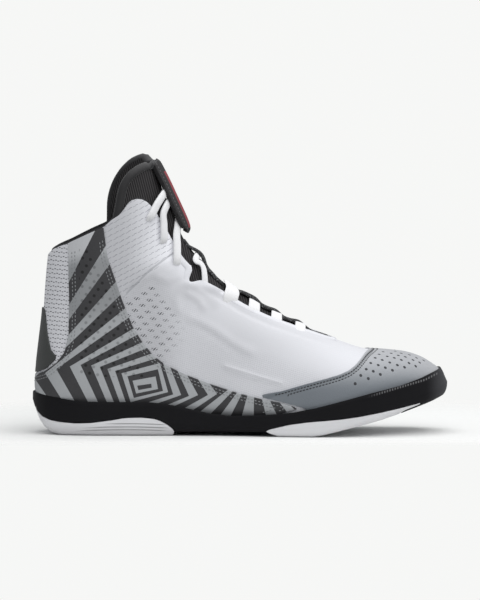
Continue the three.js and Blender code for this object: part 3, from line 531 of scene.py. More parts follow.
def near_line(points, line):
    """Distance in millimetres to an open line in the side view."""
    line = side_points(line)
    return np.min([to_stretch(points[..., [0, 2]], a, b) for a, b in zip(line, line[1:])], axis=0)


ON_LINE = 0.08
FOOT_LINE = [(row[2], row[3]) for row in LAST_ROWS[HEEL_CORNER::-1]]


def trim(obj, field):
    """Cuts obj along the nought line of field, a function of points, and keeps what is above it."""
    mesh = bmesh.new()
    mesh.from_mesh(obj.data)
    values = field(from_frame(np.array([v.co for v in mesh.verts])))
    values[np.abs(values) < ON_LINE] = 0.0
    value = dict(zip(mesh.verts, values))
    cut = [v for v in mesh.verts if value[v] == 0.0]
    for edge in list(mesh.edges):
        a, b = edge.verts
        if value[a] * value[b] < 0:
            _, made = bmesh.utils.edge_split(edge, a, value[a] / (value[a] - value[b]))
            value[made] = 0.0
            cut.append(made)
    bmesh.ops.connect_verts(mesh, verts=cut)
    gone = [f for f in mesh.faces if sum(value[v] for v in f.verts) <= 0]
    bmesh.ops.delete(mesh, geom=gone, context="FACES")
    loose = [v for v in mesh.verts if not v.link_faces]
    bmesh.ops.delete(mesh, geom=loose, context="VERTS")
    mesh.to_mesh(obj.data)
    mesh.free()
    obj.data.update()


def borders(obj):
    """The open borders of a mesh as ordered arrays of points and normals, longest first."""
    mesh = bmesh.new()
    mesh.from_mesh(obj.data)
    mesh.normal_update()
    edges = dict.fromkeys(e for e in mesh.edges if e.is_boundary)
    runs = []
    while edges:
        edge, _ = edges.popitem()
        run = list(edge.verts)
        for end in (0, -1):
            while following := next((e for e in run[end].link_edges if e in edges), None):
                del edges[following]
                run.insert(len(run) if end else 0, following.other_vert(run[end]))
        runs.append(np.array([(*v.co, *v.normal) for v in run]))
    mesh.free()
    return sorted(runs, key=len, reverse=True)


def evenly(path, spacing, blur=0):
    """A path at even steps, with its jitter averaged out."""
    path = np.asarray(path, dtype=float)
    for _ in range(blur):
        path[1:-1] = (path[:-2] + 2 * path[1:-1] + path[2:]) / 4
    reach = np.concatenate([[0], np.cumsum(np.linalg.norm(np.diff(path[:, :3], axis=0), axis=1))])
    count = max(2, int(round(reach[-1] / spacing)) + 1)
    at = np.linspace(0, reach[-1], count)
    return np.stack([np.interp(at, reach, path[:, k]) for k in range(path.shape[1])], axis=1)


def parts_where(path, keep):
    """The stretches of a path whose points pass a test."""
    stretches, run = [], []
    for point, wanted in zip(path, keep):
        if wanted:
            run.append(point)
        elif run:
            stretches.append(np.array(run))
            run = []
    if run:
        stretches.append(np.array(run))
    return [s for s in stretches if len(s) > 3]


def last_rows(first, last, steps):
    """Sections from first to last, with steps from each to the next."""
    return np.linspace(first, last, (last - first) * steps + 1)


def last_patch(name, rows, turns, out, field, relief=None):
    """A piece of the last's surface, trimmed to a field, as an open sheet with its normals outwards."""
    points = last_grid(rows, turns, out, relief)
    obj = new_grid(name, to_frame(points))
    if whole_turn(turns):
        edit(obj, (bpy.ops.mesh.remove_doubles, {"threshold": 0.01 * MM}))
    trim(obj, field)
    face_outwards(obj)
    return obj


def face_outwards(obj):
    """Turns an open sheet over if most of its faces look towards the shoe's inside."""
    centres, normals = face_values(obj, "center"), face_values(obj, "normal")
    if (centres[:, 1] * normals[:, 1]).sum() < 0:
        edit(obj, (bpy.ops.mesh.flip_normals, {}))


def face_front(obj):
    """Turns an open sheet over if it looks towards the heel."""
    if face_values(obj, "normal")[:, 0].sum() < 0:
        edit(obj, (bpy.ops.mesh.flip_normals, {}))


def face_values(obj, name):
    """One vector for each face of a mesh."""
    values = np.zeros(len(obj.data.polygons) * 3)
    obj.data.polygons.foreach_get(name, values)
    return values.reshape(-1, 3)


def thicken(obj, wall, inward=True, edge=0.3):
    """Gives an open sheet its wall, with softened edges, in millimetres."""
    side = -1 if inward else 1
    modifier(obj, "SOLIDIFY", thickness=wall * MM, offset=side, use_even_offset=True)
    modifier(obj, "BEVEL", width=edge * MM, segments=2, limit_method="ANGLE", angle_limit=math.radians(50))


def sweep(name, path, ups, profile):
    """A solid swept along a path in metres: its profile is a list of places across and up."""
    path, ups = np.asarray(path), np.asarray(ups)
    tangent = np.gradient(path, axis=0)
    tangent /= np.linalg.norm(tangent, axis=1, keepdims=True)
    across = np.cross(tangent, ups)
    across /= np.linalg.norm(across, axis=1, keepdims=True)
    true_up = np.cross(across, tangent)
    closed = np.concatenate([profile, profile[:1]])
    rings = path[:, None] + across[:, None] * closed[:, :1] + true_up[:, None] * closed[:, 1:]
    obj = new_grid(name, rings)
    edit(obj, (bpy.ops.mesh.remove_doubles, {"threshold": 0.002 * MM}),
         (bpy.ops.mesh.select_all, {"action": "DESELECT"}),
         (bpy.ops.mesh.select_non_manifold, {"extend": False}),
         (bpy.ops.mesh.fill_holes, {"sides": 0}),
         (bpy.ops.mesh.select_all, {"action": "SELECT"}),
         (bpy.ops.mesh.normals_make_consistent, {"inside": False}))
    return obj


def rounded(width, height, round_share=0.5, count=12):
    """A flat rounded profile of a width and height, its underside at nought."""
    angles = np.linspace(0, 2 * math.pi, count, endpoint=False)
    power = 2 * round_share
    wide = np.sign(np.cos(angles)) * np.abs(np.cos(angles)) ** power * width / 2
    high = np.sign(np.sin(angles)) * np.abs(np.sin(angles)) ** power * height / 2 + height / 2
    return np.stack([wide, high], axis=1)


def repeated(name, template, places):
    """Copies of a small piece as one mesh; each place is its point, its direction, its up and its stretch."""
    mesh = template.data
    base = np.array([v.co[:] for v in mesh.vertices])
    faces = [tuple(f.vertices) for f in mesh.polygons]
    points, all_faces = [], []
    for k, (point, along, up, stretch) in enumerate(places):
        along = np.asarray(along) / np.linalg.norm(along)
        across = np.cross(up, along)
        across /= np.linalg.norm(across)
        up = np.cross(along, across)
        size = base * stretch
        points.append(point + size[:, :1] * along + size[:, 1:2] * across + size[:, 2:] * up)
        all_faces += [tuple(v + k * len(base) for v in face) for face in faces]
    pick(template)
    mesh.clear_geometry()
    mesh.from_pydata(np.concatenate(points).tolist(), [], all_faces)
    mesh.update()
    template.name = mesh.name = name
    return template


def stitch_row(name, runs, sizes, keep=None, rise=0.0):
    """A row of thread stitches along runs of points with normals, all sizes in millimetres."""
    spacing, length, width = np.array(sizes) * MM
    clear_selection()
    bpy.ops.mesh.primitive_uv_sphere_add(segments=6, ring_count=4, radius=0.5)
    thread = bpy.context.object
    turned = np.array([v.co[:] for v in thread.data.vertices])[:, [2, 0, 1]]
    thread.data.vertices.foreach_set("co", turned.ravel().astype(np.float32))
    places = []
    for run in runs:
        path = evenly(run, spacing, 3)
        if len(path) < 4:
            continue
        along = np.gradient(path[:, :3], axis=0)
        wanted = np.ones(len(path), dtype=bool) if keep is None else keep(from_frame(path[:, :3]))
        for point, direction, ok in zip(path, along, wanted):
            if ok and np.linalg.norm(direction) > 1e-9:
                place = point[:3] + point[3:] * rise * MM
                places.append((place, direction, point[3:], (length, width, width * 0.8)))
    made = repeated(name, thread, places)
    smooth(made, 80)
    return made


def take_borders(guide):
    """The borders of a guide sheet, which goes."""
    runs = borders(guide)
    pick(guide)
    bpy.ops.object.delete()
    return runs


def seam_runs(rows, turns, out, field):
    """The border of a trimmed piece of the last's surface, for a seam to follow."""
    runs = take_borders(last_patch("guide", rows, turns, out, field))
    return [run for run in runs if len(run) > 12]


def join(name, objects):
    """Several pieces as one object."""
    clear_selection()
    for obj in objects:
        obj.select_set(True)
    bpy.context.view_layer.objects.active = objects[0]
    if len(objects) > 1:
        bpy.ops.object.join()
    objects[0].name = objects[0].data.name = name
    return objects[0]


class Wire:
    """A shader socket that Python's own signs join with Math nodes."""

    def __init__(self, finish, socket):
        self.finish, self.socket = finish, socket

    def math(self, operation, *others):
        """One Math node on this value and the others."""
        made = self.finish.node("ShaderNodeMath", {"operation": operation}, dict(enumerate((self, *others))))
        return made["Value"]

    def back(self, operation, other):
        """One Math node with this value as the second."""
        return self.finish.node("ShaderNodeMath", {"operation": operation}, {0: other, 1: self})["Value"]

    def __add__(self, other):
        return self.math("ADD", other)

    def __radd__(self, other):
        return self.back("ADD", other)

    def __sub__(self, other):
        return self.math("SUBTRACT", other)

    def __rsub__(self, other):
        return self.back("SUBTRACT", other)

    def __mul__(self, other):
        return self.math("MULTIPLY", other)

    def __rmul__(self, other):
        return self.back("MULTIPLY", other)

    def __truediv__(self, other):
        return self.math("DIVIDE", other)

    def __rtruediv__(self, other):
        return self.back("DIVIDE", other)

    def __mod__(self, other):
        return self.math("FLOORED_MODULO", other)

    def __gt__(self, other):
        return self.math("GREATER_THAN", other)

    def __lt__(self, other):
        return self.math("LESS_THAN", other)

    def __abs__(self):
        return self.math("ABSOLUTE")

    def step(self, low, high):
        """From nought at low to one at high, smoothly."""
        settings = {"interpolation_type": "SMOOTHSTEP"}
        values = {"Value": self, "From Min": low, "From Max": high}
        return self.finish.node("ShaderNodeMapRange", settings, values)["Result"]

    def both(self, other):
        return self.math("MINIMUM", other)

    def either(self, other):
        return self.math("MAXIMUM", other)


class Outputs:
    """A node's outputs by name."""

    def __init__(self, finish, made):
        self.finish, self.made = finish, made

    def __getitem__(self, name):
        return Wire(self.finish, next(s for s in self.made.outputs if s.name == name and s.enabled))


class Finish:
    """One material and the way its nodes are added."""

    def __init__(self, name, **values):
        self.material = bpy.data.materials.new(name)
        self.material.use_nodes = True
        self.tree = self.material.node_tree
        self.shader = self.tree.nodes["Principled BSDF"]
        for key, value in values.items():
            self.shader.inputs[key.replace("_", " ").title().replace("Ior", "IOR")].default_value = value
        self.coordinates = self.node("ShaderNodeTexCoord")["Object"]

    def node(self, kind, settings=None, values=None):
        """Adds a node, sets its settings, then the values or links of its sockets."""
        made = self.tree.nodes.new(kind)
        for key, value in (settings or {}).items():
            if key == "stops":
                self.set_stops(made.color_ramp, value)
            else:
                setattr(made, key, value)
        for key, value in (values or {}).items():
            socket = made.inputs[key] if isinstance(key, int) else next(
                s for s in made.inputs if s.name == key and s.enabled)
            if isinstance(value, Wire):
                self.tree.links.new(value.socket, socket)
            else:
                socket.default_value = value
        return Outputs(self, made)

    def set_stops(self, ramp, stops):
        """A ramp's stops as (place, grey)."""
        while len(ramp.elements) > 1:
            ramp.elements.remove(ramp.elements[-1])
        for k, (place, grey) in enumerate(stops):
            element = ramp.elements.new(place) if k else ramp.elements[0]
            element.position = place
            element.color = (grey, grey, grey, 1)

    def place(self):
        """Object coordinates as three wires, in metres."""
        apart = self.node("ShaderNodeSeparateXYZ", None, {0: self.coordinates})
        return apart["X"], apart["Y"], apart["Z"]

    def photo_place(self):
        """The place in the photograph's pixels that a point shows at from the side."""
        x, y, z = self.place()
        y = -1 * abs(y)
        up = z - EYE_AT[1] * MM
        near = EYE_AWAY * MM / (EYE_AWAY * MM + y * math.cos(EYE_RISE) - up * math.sin(EYE_RISE))
        scale = PX_PER_MM / MM
        px = (x + (HEEL_REST - EYE_AT[0]) * MM) * near * scale + MIDDLE_PX[0]
        level = MIDDLE_PX[1] - EYE_LIFT * PX_PER_MM
        py = level - (up * math.cos(EYE_RISE) + y * math.sin(EYE_RISE)) * near * scale
        return px, py

    def mix(self, share, first, second):
        """A colour from first to second by share."""
        values = {"Factor": share, "A": colour4(first), "B": colour4(second)}
        return self.node("ShaderNodeMix", {"data_type": "RGBA"}, values)["Result"]

    def noise(self, scale, detail=2.0):
        """Noise on object coordinates."""
        values = {"Vector": self.coordinates, "Scale": scale, "Detail": detail}
        return self.node("ShaderNodeTexNoise", None, values)["Fac"]

    def colour(self, wire):
        """Feeds the base colour."""
        self.link(wire, "Base Color")

    def link(self, wire, name):
        """Feeds one input of the shader."""
        self.tree.links.new(wire.socket, self.shader.inputs[name])

    def bump(self, height, distance, strength=1.0):
        """Feeds the normal from a height from nought to one that stands a distance in metres."""
        values = {"Height": height, "Distance": distance, "Strength": strength}
        self.link(self.node("ShaderNodeBump", None, values)["Normal"], "Normal")


def colour4(value):
    """A colour with its fourth number, or a wire as it is."""
    return value if isinstance(value, Wire) else (*value[:3], 1.0)


def scaled(colour, share):
    """A colour made darker or brighter."""
    return [c * share for c in colour]


def rubber(settings):
    """Black moulded rubber with a faint grain, painted light on the bumper's front face, and a line of small
    ribs under its edge at the toe.
    """
    made = Finish("cup_rubber", roughness=0.6, specular_ior_level=0.16)
    px, py = made.photo_place()
    shade = made.mix(made.noise(90, 3) * 0.5, settings.rubber_colour, scaled(settings.rubber_colour, 1.9))
    # Painted light: the bumper's front face at the toe is made lighter, as the light falls on it.
    shade = made.mix(px.step(425, 446), shade, BUMPER_FRONT_PAINTED_LIGHT)
    below = py - 391 + (px - 380) * 0.3 + (px - 425).either(0) * 0.22
    ribs = below.step(1.0, 1.6) * (1 - below.step(3.0, 3.8)) * px.step(366, 384) * (1 - px.step(436, 439))
    ribs = ribs * (abs((px % 2.6) - 1.3) / 1.3).step(0.3, 0.7)
    made.colour(made.mix(ribs, shade, RIB_GREY))
    made.bump(ribs * 0.7 + made.noise(2600, 2) * 0.3, 0.00025)
    return made.material


def tread_rubber(settings):
    """White rubber with fine grooves along the heel's side, with painted shade in the grooves and low down on
    the heel's side.
    """
    made = Finish("tread_rubber", roughness=0.5)
    px, py = made.photo_place()
    lines = []
    for height, left, right in HEEL_GROOVES:
        bow = (px - 125) * (px - 125) * 0.0006
        line = 1 - abs(py - bow - height).step(0.1, 0.75)
        lines.append(line * px.step(left, left + 25) * (1 - px.step(right - 12, right)))
    grooves = lines[0].either(lines[1]).either(lines[2])
    dirt = made.noise(60, 3).step(0.55, 0.8)
    shade = made.mix(dirt * 0.06, settings.tread_colour, DIRT)
    # Painted shade: the heel tread darkens towards the ground.
    low = py.step(423, 433) * (1 - px.step(180, 190))
    shade = made.mix(low * 0.4, shade, TREAD_BOTTOM_SHADE)
    # Painted shade in the grooves.
    made.colour(made.mix(grooves * 0.7, shade, GROOVE_SHADE))
    made.bump(1 - grooves, 0.0003)
    return made.material


def dashes(px, py, slope, along, between, share, thin, shift):
    """Short dark gaps in staggered rows that climb by slope: their step, their rows' step and their size."""
    size = math.hypot(1, slope)
    u = (px - py * slope) / size
    v = (py + px * slope) / size
    row = (v / between).math("FLOOR")
    place = abs(((u + row * (along * shift)) % along) - along / 2) / (along / 2)
    line = abs((v % between) - between / 2) / (between / 2)
    return place.step(1 - share * 1.2, 1 - share * 0.75) * line.step(1 - thin * 1.5, 1 - thin * 0.4)


def off_line(px, py, line):
    """How far a pixel is from a line through points, in pixels."""
    nearest = None
    for (x1, y1), (x2, y2) in zip(line, line[1:]):
        dx, dy = x2 - x1, y2 - y1
        share = (((px - x1) * dx + (py - y1) * dy) / (dx * dx + dy * dy)).either(0).both(1)
        right, down = px - x1 - share * dx, py - y1 - share * dy
        square = right * right + down * down
        nearest = square if nearest is None else nearest.both(square)
    return nearest.math("SQRT")


def lattice(px, py, first, along, down):
    """How far a pixel is, across and down, from the nearest point of a slanting lattice."""
    size = along[0] * down[1] - along[1] * down[0]
    x, y = px - first[0], py - first[1]
    i = (x * down[1] - y * down[0]) / size
    j = (y * along[0] - x * along[1]) / size
    u = ((i + 0.5) % 1) - 0.5
    v = ((j + 0.5) % 1) - 0.5
    return u * along[0] + v * down[0], u * along[1] + v * down[1]


def knit_gaps(made, px, py):
    """The knit's gaps at the ankle, at the heel, over the side and in the close weave elsewhere."""
    seam = px * 0.66 + py * 0.75
    ankle = 1 - seam.step(303, 307)
    heel = 1 - (px > HEEL_KNIT_PX)
    body = 1 - heel
    uneven = made.noise(60)
    at_ankle = dashes(px, py, slope=0.52, along=7.0, between=5.0, share=0.42, thin=0.22, shift=0.42)
    at_ankle = at_ankle * ankle * body * (uneven.step(0.2, 0.6) * 0.6 + 0.4)
    at_heel = dashes(px, py, slope=-0.1, along=4.8, between=4.3, share=0.36, thin=0.36, shift=0.5) * heel
    dx, dy = lattice(px, py, first=(144.3, 293.6), along=(-7.4, 5.1), down=(5.4, 6.7))
    oval = 1 - (dx * dx / 10 + dy * dy / 2.4).step(0.6, 1.2)
    threads = (abs(((dx + dy * 0.9) % 2.9) - 1.45) / 1.45).step(0.35, 0.8)
    side = (1 - (px - (py - 284) * 0.72).step(149, 160)) * (1 - seam.step(366, 386)) * (1 - px.step(164, 190))
    side = side * (px * 0.5 + py).step(358, 364) * px.step(105, 120)
    at_side = oval * threads * side * (uneven.step(0.25, 0.55) * 0.55 + 0.45)
    film = (px - 190 - (py - 300) * 1.15).step(-14, 2) * ((px * 0.4 - py + 247) * 0.93).step(-8, 6)
    weave = dashes(px, py, slope=0.3, along=2.4, between=1.9, share=0.5, thin=0.4, shift=0.37)
    weave = weave * (1 - ankle) * body * (1 - film * 0.85)
    return heel, at_ankle, at_heel, at_side, weave


def knit(settings):
    """White knit: open at the ankle and heel, with clusters of gaps over the side, close at the throat, with
    painted light and shade over it.
    """
    made = Finish("upper_knit", roughness=0.82, sheen_weight=0.06)
    px, py = made.photo_place()
    heel, at_ankle, at_heel, at_side, weave = knit_gaps(made, px, py)
    fine = made.noise(2400)
    broad = made.noise(26)
    height = ((py - 348) / 20).both(1).either(-0.4)
    # Painted light and shade: the knit is lighter towards the front and at the top of the flap, where the
    # light falls, darker near the panel, and changing with height over the instep; the heel term gives the
    # heel mesh its own paler tone.
    painted_light_and_heel_tone = px.step(152, 190) * 0.44 + (1 - py.step(255, 280)) * px.step(118, 165) * 0.9
    painted_light_and_heel_tone = painted_light_and_heel_tone + px.step(220, 250) * height * 0.14 + heel * 0.62
    shade = made.mix(painted_light_and_heel_tone, scaled(settings.knit_colour, 0.79), scaled(settings.knit_colour, 1.3))
    under_hem = 1 - off_line(px, py, UNDER_HEM_PX).step(0, 9)
    shade = made.mix(fine * 0.12 + broad * 0.1 + under_hem * 0.2, shade, scaled(settings.knit_colour, 0.6))
    # The seam across the side is a dark line: partly the seam itself and partly painted shade in its crease.
    crease = 1 - off_line(px, py, CREASE_PX).step(0.3, 1.5)
    for share, grey in ((at_ankle * 0.6, ANKLE_GAP), (at_heel, HEEL_GAP), (at_side, SIDE_GAP),
                        (crease * 0.4, SEAM_CREASE_SHADE), (weave * 0.3, WEAVE_GREY)):
        shade = made.mix(share, shade, grey)
    made.colour(shade)
    gaps = at_ankle.either(at_heel).either(at_side).either(weave * 0.35)
    ridge = 1 - off_line(px, py, RIDGE_PX).step(0.3, 2.0)
    made.bump(fine * 0.25 + ridge * 0.9 - gaps * 0.8, 0.0003, 0.7)
    return made.material


def black_knit():
    """Black ribbed knit of the tongue."""
    made = Finish("tongue_knit", roughness=0.9)
    x, _, z = made.place()
    slant = x * 1000 + z * 250
    ribs = abs((slant % 1.55) - 0.775) / 0.775
    made.colour(made.mix(ribs.step(0.2, 0.95), *TONGUE_KNIT))
    made.bump(ribs, 0.0004)
    return made.material


def rim_cloth():
    """Smooth dark cloth of the tongue's binding, with a pale sheen and painted light on its top."""
    made = Finish("binding_cloth", roughness=0.75, sheen_weight=0.28, sheen_roughness=0.35)
    cloth = made.mix(made.noise(120, 3), *BINDING_CLOTH)
    # Painted light: the binding is made paler near its top, where the top light falls.
    high = made.place()[2].step(0.176, 0.193)
    made.colour(made.mix(high * 0.7, cloth, BINDING_TOP_PAINTED_LIGHT))
    made.bump(made.noise(1500), 0.00012)
    return made.material


def webbing():
    """Black webbing flecked with grey threads."""
    made = Finish("flecked_webbing", roughness=0.85)
    threads = made.noise(900)
    made.colour(made.mix(threads.step(0.5, 0.66), *WEBBING_FLECKS))
    made.bump(threads, 0.0004)
    return made.material


def tab_cloth():
    """Black cloth of the tab with a plain stripe down its middle."""
    made = Finish("tab_cloth", roughness=0.85)
    _, y, z = made.place()
    stripe = (abs(y) < 0.0066) * (z < 0.181) * (z > 0.142)
    cloth = made.mix(made.noise(800) * 0.6, *TAB_CLOTH)
    made.colour(made.mix(stripe, cloth, TAB_STRIPE))
    made.bump(made.noise(1300), 0.0002)
    return made.material


def plain(name, colour, roughness):
    """A plain finish with a fine grain."""
    made = Finish(name, roughness=roughness)
    made.colour(made.mix(made.noise(150, 3) * 0.3, colour, scaled(colour, 0.6)))
    made.bump(made.noise(1800), 0.00008)
    return made.material


# Colours of the small parts and patterns, and of painted light and shade, that a user would leave as they
# are.
BUMPER_FRONT_PAINTED_LIGHT = (0.05, 0.05, 0.055)
RIB_GREY = (0.13, 0.13, 0.135)
DIRT = (0.45, 0.44, 0.43)
TREAD_BOTTOM_SHADE = (0.3, 0.29, 0.3)
GROOVE_SHADE = (0.16, 0.16, 0.165)
ANKLE_GAP = (0.2, 0.21, 0.24)
HEEL_GAP = (0.06, 0.06, 0.07)
SIDE_GAP = (0.02, 0.022, 0.026)
SEAM_CREASE_SHADE = (0.2, 0.21, 0.23)
WEAVE_GREY = (0.3, 0.31, 0.34)
BAND_TOP_PAINTED_LIGHT = (0.68, 0.69, 0.71)
BAND_CLOTH = (0.1, 0.103, 0.107)
PANEL_HOLE = (0.006, 0.006, 0.0065)
FURROW_SHADE = (0.08, 0.083, 0.09)
CAP_SHADE_SHARES = (0.27, 0.31, 0.34)
LACE_SHADE = (0.55, 0.55, 0.57)
TONGUE_KNIT = ((0.007, 0.0065, 0.007), (0.05, 0.046, 0.048))
BINDING_CLOTH = ((0.009, 0.0085, 0.009), (0.02, 0.0195, 0.021))
BINDING_TOP_PAINTED_LIGHT = (0.075, 0.074, 0.077)
WEBBING_FLECKS = ((0.012, 0.012, 0.013), (0.14, 0.145, 0.15))
TAB_CLOTH = ((0.012, 0.011, 0.012), (0.06, 0.058, 0.06))
TAB_STRIPE = (0.26, 0.045, 0.055)

# Lines in the photograph's pixels: the shade under the throat's hem, the crease and the ridge of the side,
# the toe cap's edge, and where the open knit of the heel ends.
UNDER_HEM_PX = [(180, 291), (198, 297), (214, 305)]
CREASE_PX = [(176, 251), (150, 270), (127, 293)]
RIDGE_PX = [(226, 366), (252, 374), (281, 383)]
CAP_EDGE_PX = [(262, 395), (300, 382), (340, 373), (350, 369), (357, 362), (363, 354), (369, 348)]
HEEL_KNIT_PX = 70.5

# Grooves along the heel tread's side: their height at the middle and both ends, in the photograph's pixels.
HEEL_GROOVES = ((423.8, 96, 170), (427, 78, 172), (429.8, 70, 170))

# Edges between the side panel's dark and light bands, counted outwards from the nest's dark middle, in
# each of its four families: degrees up from the heel's focus, pixels along the sole's line on lines that
# meet far below, degrees round the focus over the nest, and degrees up from the focus beyond it.
TOP_EDGES = [6, 8, 10.5, 13, 15, 17, 19.2, 21.8, 24.5, 28, 30.8, 35.4, 39, 43.9, 48.3, 53.7, 58, 63, 92]
LEFT_EDGES = [150, 141, 138, 134.5, 130, 125, 119, 113, 106, 97, 87, 74, 62, 49.4, 35, 10]
RIGHT_EDGES = [3, 7.7, 10.9, 13.3, 15.7, 17.8, 21.4, 24.7, 28.6, 32.5, 35.9, 80]
FOOT_EDGES = [
    5, 10.5, 11.7, 13.5, 14.9, 17.4, 19.5, 22.4, 24.7, 29.2, 33.7, 38, 45.5, 53.5, 63, 75, 89, 104, 116,
    127, 134.5, 145,
]


def count_of(finish, value, edges):
    """How many of the edges a value has passed, with the share of the way to the next."""
    low, high = min(edges) - 1, max(edges) + 1
    last = len(edges) - 1
    stops = [((edge - low) / (high - low), k / last) for k, edge in enumerate(edges)]
    settings = {"stops": sorted(stops)}
    ramp = finish.node("ShaderNodeValToRGB", settings, {0: (value - low) / (high - low)})
    return ramp["Color"] * last


def turned(across, up):
    """The angle of a direction in degrees."""
    return up.math("ARCTAN2", across) * (180 / math.pi)


def band_pattern(finish, px, py):
    """Nought on the side panel's dark bands and one on its light ones."""
    top = count_of(finish, turned(px - 7, 404 - py), TOP_EDGES)
    left = count_of(finish, (px - 200) * 220 / (620 - py) + 200, LEFT_EDGES)
    right = count_of(finish, turned(py - 285, px - 138), RIGHT_EDGES)
    foot = count_of(finish, turned(254.5 - px, py - 369), FOOT_EDGES)
    return (top.either(left).either(right).either(foot) % 2) > 1


def punched(px, py, first, along, down, radius):
    """Small round holes on a lattice: its first hole and its two steps, in pixels."""
    dx, dy = lattice(px, py, first, along, down)
    away = (dx * dx + dy * dy).math("SQRT")
    return 1 - away.step(radius * 0.55, radius * 1.1)


def bands(settings):
    """The side panel's light and dark bands, with its field of small punched holes and painted light near the
    collar.
    """
    made = Finish("side_bands", roughness=0.66)
    px, py = made.photo_place()
    light = band_pattern(made, px, py)
    holes = punched(px, py, first=(86.4, 251.7), along=(8.0, 1.53), down=(-4.05, 6.34), radius=1.85)
    field = (px > 79) * (py > 247) * (py < 377) * ((px - (py - 270) * 0.45) < 99.5)
    holes = holes * field * (1 - light * 0.62)
    cloth = made.noise(1500)
    # Painted light: the light bands are paler near the collar, where the top light falls.
    pale = 1 - (py + px * 0.4).step(279, 300)
    # The light bands are made darker over the panel's middle height.
    darker_middle = (py + px * 0.2).step(268, 284) * (1 - (py + px * 0.2).step(320, 350))
    shade = made.mix(light, settings.band_dark, settings.band_light)
    for share, colour in ((pale * light * 0.8, BAND_TOP_PAINTED_LIGHT), (darker_middle * light * 0.3, settings.band_dark),
                          (cloth * 0.2, BAND_CLOTH), (holes, PANEL_HOLE)):
        shade = made.mix(share, shade, colour)
    made.colour(shade)
    made.bump(cloth * 0.4 - holes * 0.6, 0.00018)
    return made.material


def cap_leather(settings):
    """Grey coated leather of the toe cap, with painted shade low down and in the furrow along its edge."""
    made = Finish("cap_leather", roughness=0.5)
    px, py = made.photo_place()
    grain = made.noise(1100, 3)
    patches = made.noise(70)
    fall = (px - 398).either(0)
    # Painted shade: the cap darkens low down, where less light falls, and in the furrow along its edge.
    low = (py - 347 - fall * fall * 0.014).step(0, 46)
    furrow = 1 - abs(off_line(px, py, CAP_EDGE_PX) - 3.8).step(0.6, 2.6)
    painted_shade_colour = [c * share for c, share in zip(settings.cap_colour, CAP_SHADE_SHARES)]
    shade = made.mix(grain * 0.2 + patches * 0.3, settings.cap_colour, scaled(settings.cap_colour, 0.55))
    shade = made.mix(furrow * 0.55, shade, FURROW_SHADE)
    made.colour(made.mix(low * 0.84, shade, painted_shade_colour))
    made.bump(grain * 0.4 + patches * 0.4, 0.0005, 0.7)
    return made.material


def lace_weave(settings):
    """White woven lace."""
    made = Finish("lace_weave", roughness=0.85, sheen_weight=0.1)
    x, _, z = made.place()
    weave = abs(((x * 1000 + z * 1000) % 0.9) - 0.45) / 0.45
    made.colour(made.mix(weave * 0.12, settings.lace_colour, LACE_SHADE))
    made.bump(weave, 0.00012)
    return made.material


class SHOE_OT_knit_upper(bpy.types.Operator):
    """The knitted upper, a thin shell on the last, open at the collar, the throat and underneath"""
    bl_idname = "shoe.knit_upper"
    bl_label = "Upper"

    def execute(self, context):
        settings = context.scene.shoe
        rows = last_rows(0, LAST_TOP, 8)
        turns = np.linspace(0, 1, 177)

        def keep(points, lift=0.0):
            return np.minimum(clear_of_opening(points, lift), above_line(points, FOOT_LINE, 4.0))

        upper = last_patch("knit_upper", rows, turns, 0.0, keep, soft_folds)
        finish_sheet(upper, WALL, knit(settings), "white_knit", "upper")
        self.hem(settings, rows, turns, keep)
        lining = last_patch("inner_lining", rows[45::2], turns, -WALL - 0.2, lambda p: keep(p, LINING_RISE))
        cloth = plain("lining_cloth", (0.03, 0.03, 0.032), 0.95)
        finish_sheet(lining, LINING_WALL, cloth, "black_knit", "collar_lining")
        return {"FINISHED"}

    def hem(self, settings, rows, turns, keep):
        """The turned hem round the throat's edge."""
        profile = rounded(HEM_SIZE[0] * MM, HEM_SIZE[1] * MM)
        parts = []
        for run in seam_runs(rows, turns, -0.4, lambda p: keep(p) - HEM_INSET):
            near = near_line(seen(from_frame(run[:, :3])), HEM_LINE) < HEM_REACH
            for stretch in parts_where(run, near):
                path = evenly(stretch, 1.5 * MM, 5)
                parts.append(sweep("hem", path[:, :3], path[:, 3:], profile))
        hem = join("throat_hem", parts)
        smooth(hem, 70)
        # Painted highlight: the hem is the knit's colour made brighter, for the light on its rolled edge.
        settle(hem, plain("hem_cloth_painted_highlight", scaled(settings.knit_colour, 1.1), 0.85), "white_knit")


def clear_of_opening(points, lift=0.0):
    """How far points are outside the opening of collar and throat, its inner side a little lower."""
    place = seen(points)
    inner = np.clip(points[..., 1] / 10, 0, 1) * np.clip((0.26 - points[..., 0] / LENGTH) / 0.06, 0, 1)
    place[..., 2] += INNER_DROP * inner - lift
    return -inside(place, OPENING)


def soft_folds(points):
    """Height in millimetres of the upper's hem round the throat, its seams and its soft folds."""
    place = seen(points)
    to_throat = near_line(place, RELIEF_LINE)
    front = np.clip((place[..., 0] / LENGTH - 0.36) / 0.05, 0, 1)
    total = front * (0.55 * np.exp(-(to_throat / 3.6) ** 4) - 0.5 * np.exp(-((to_throat - 5.6) / 1.2) ** 2))
    for line, rise, width in FOLDS:
        total += rise * np.exp(-(near_line(place, line) / width) ** 2)
    return total


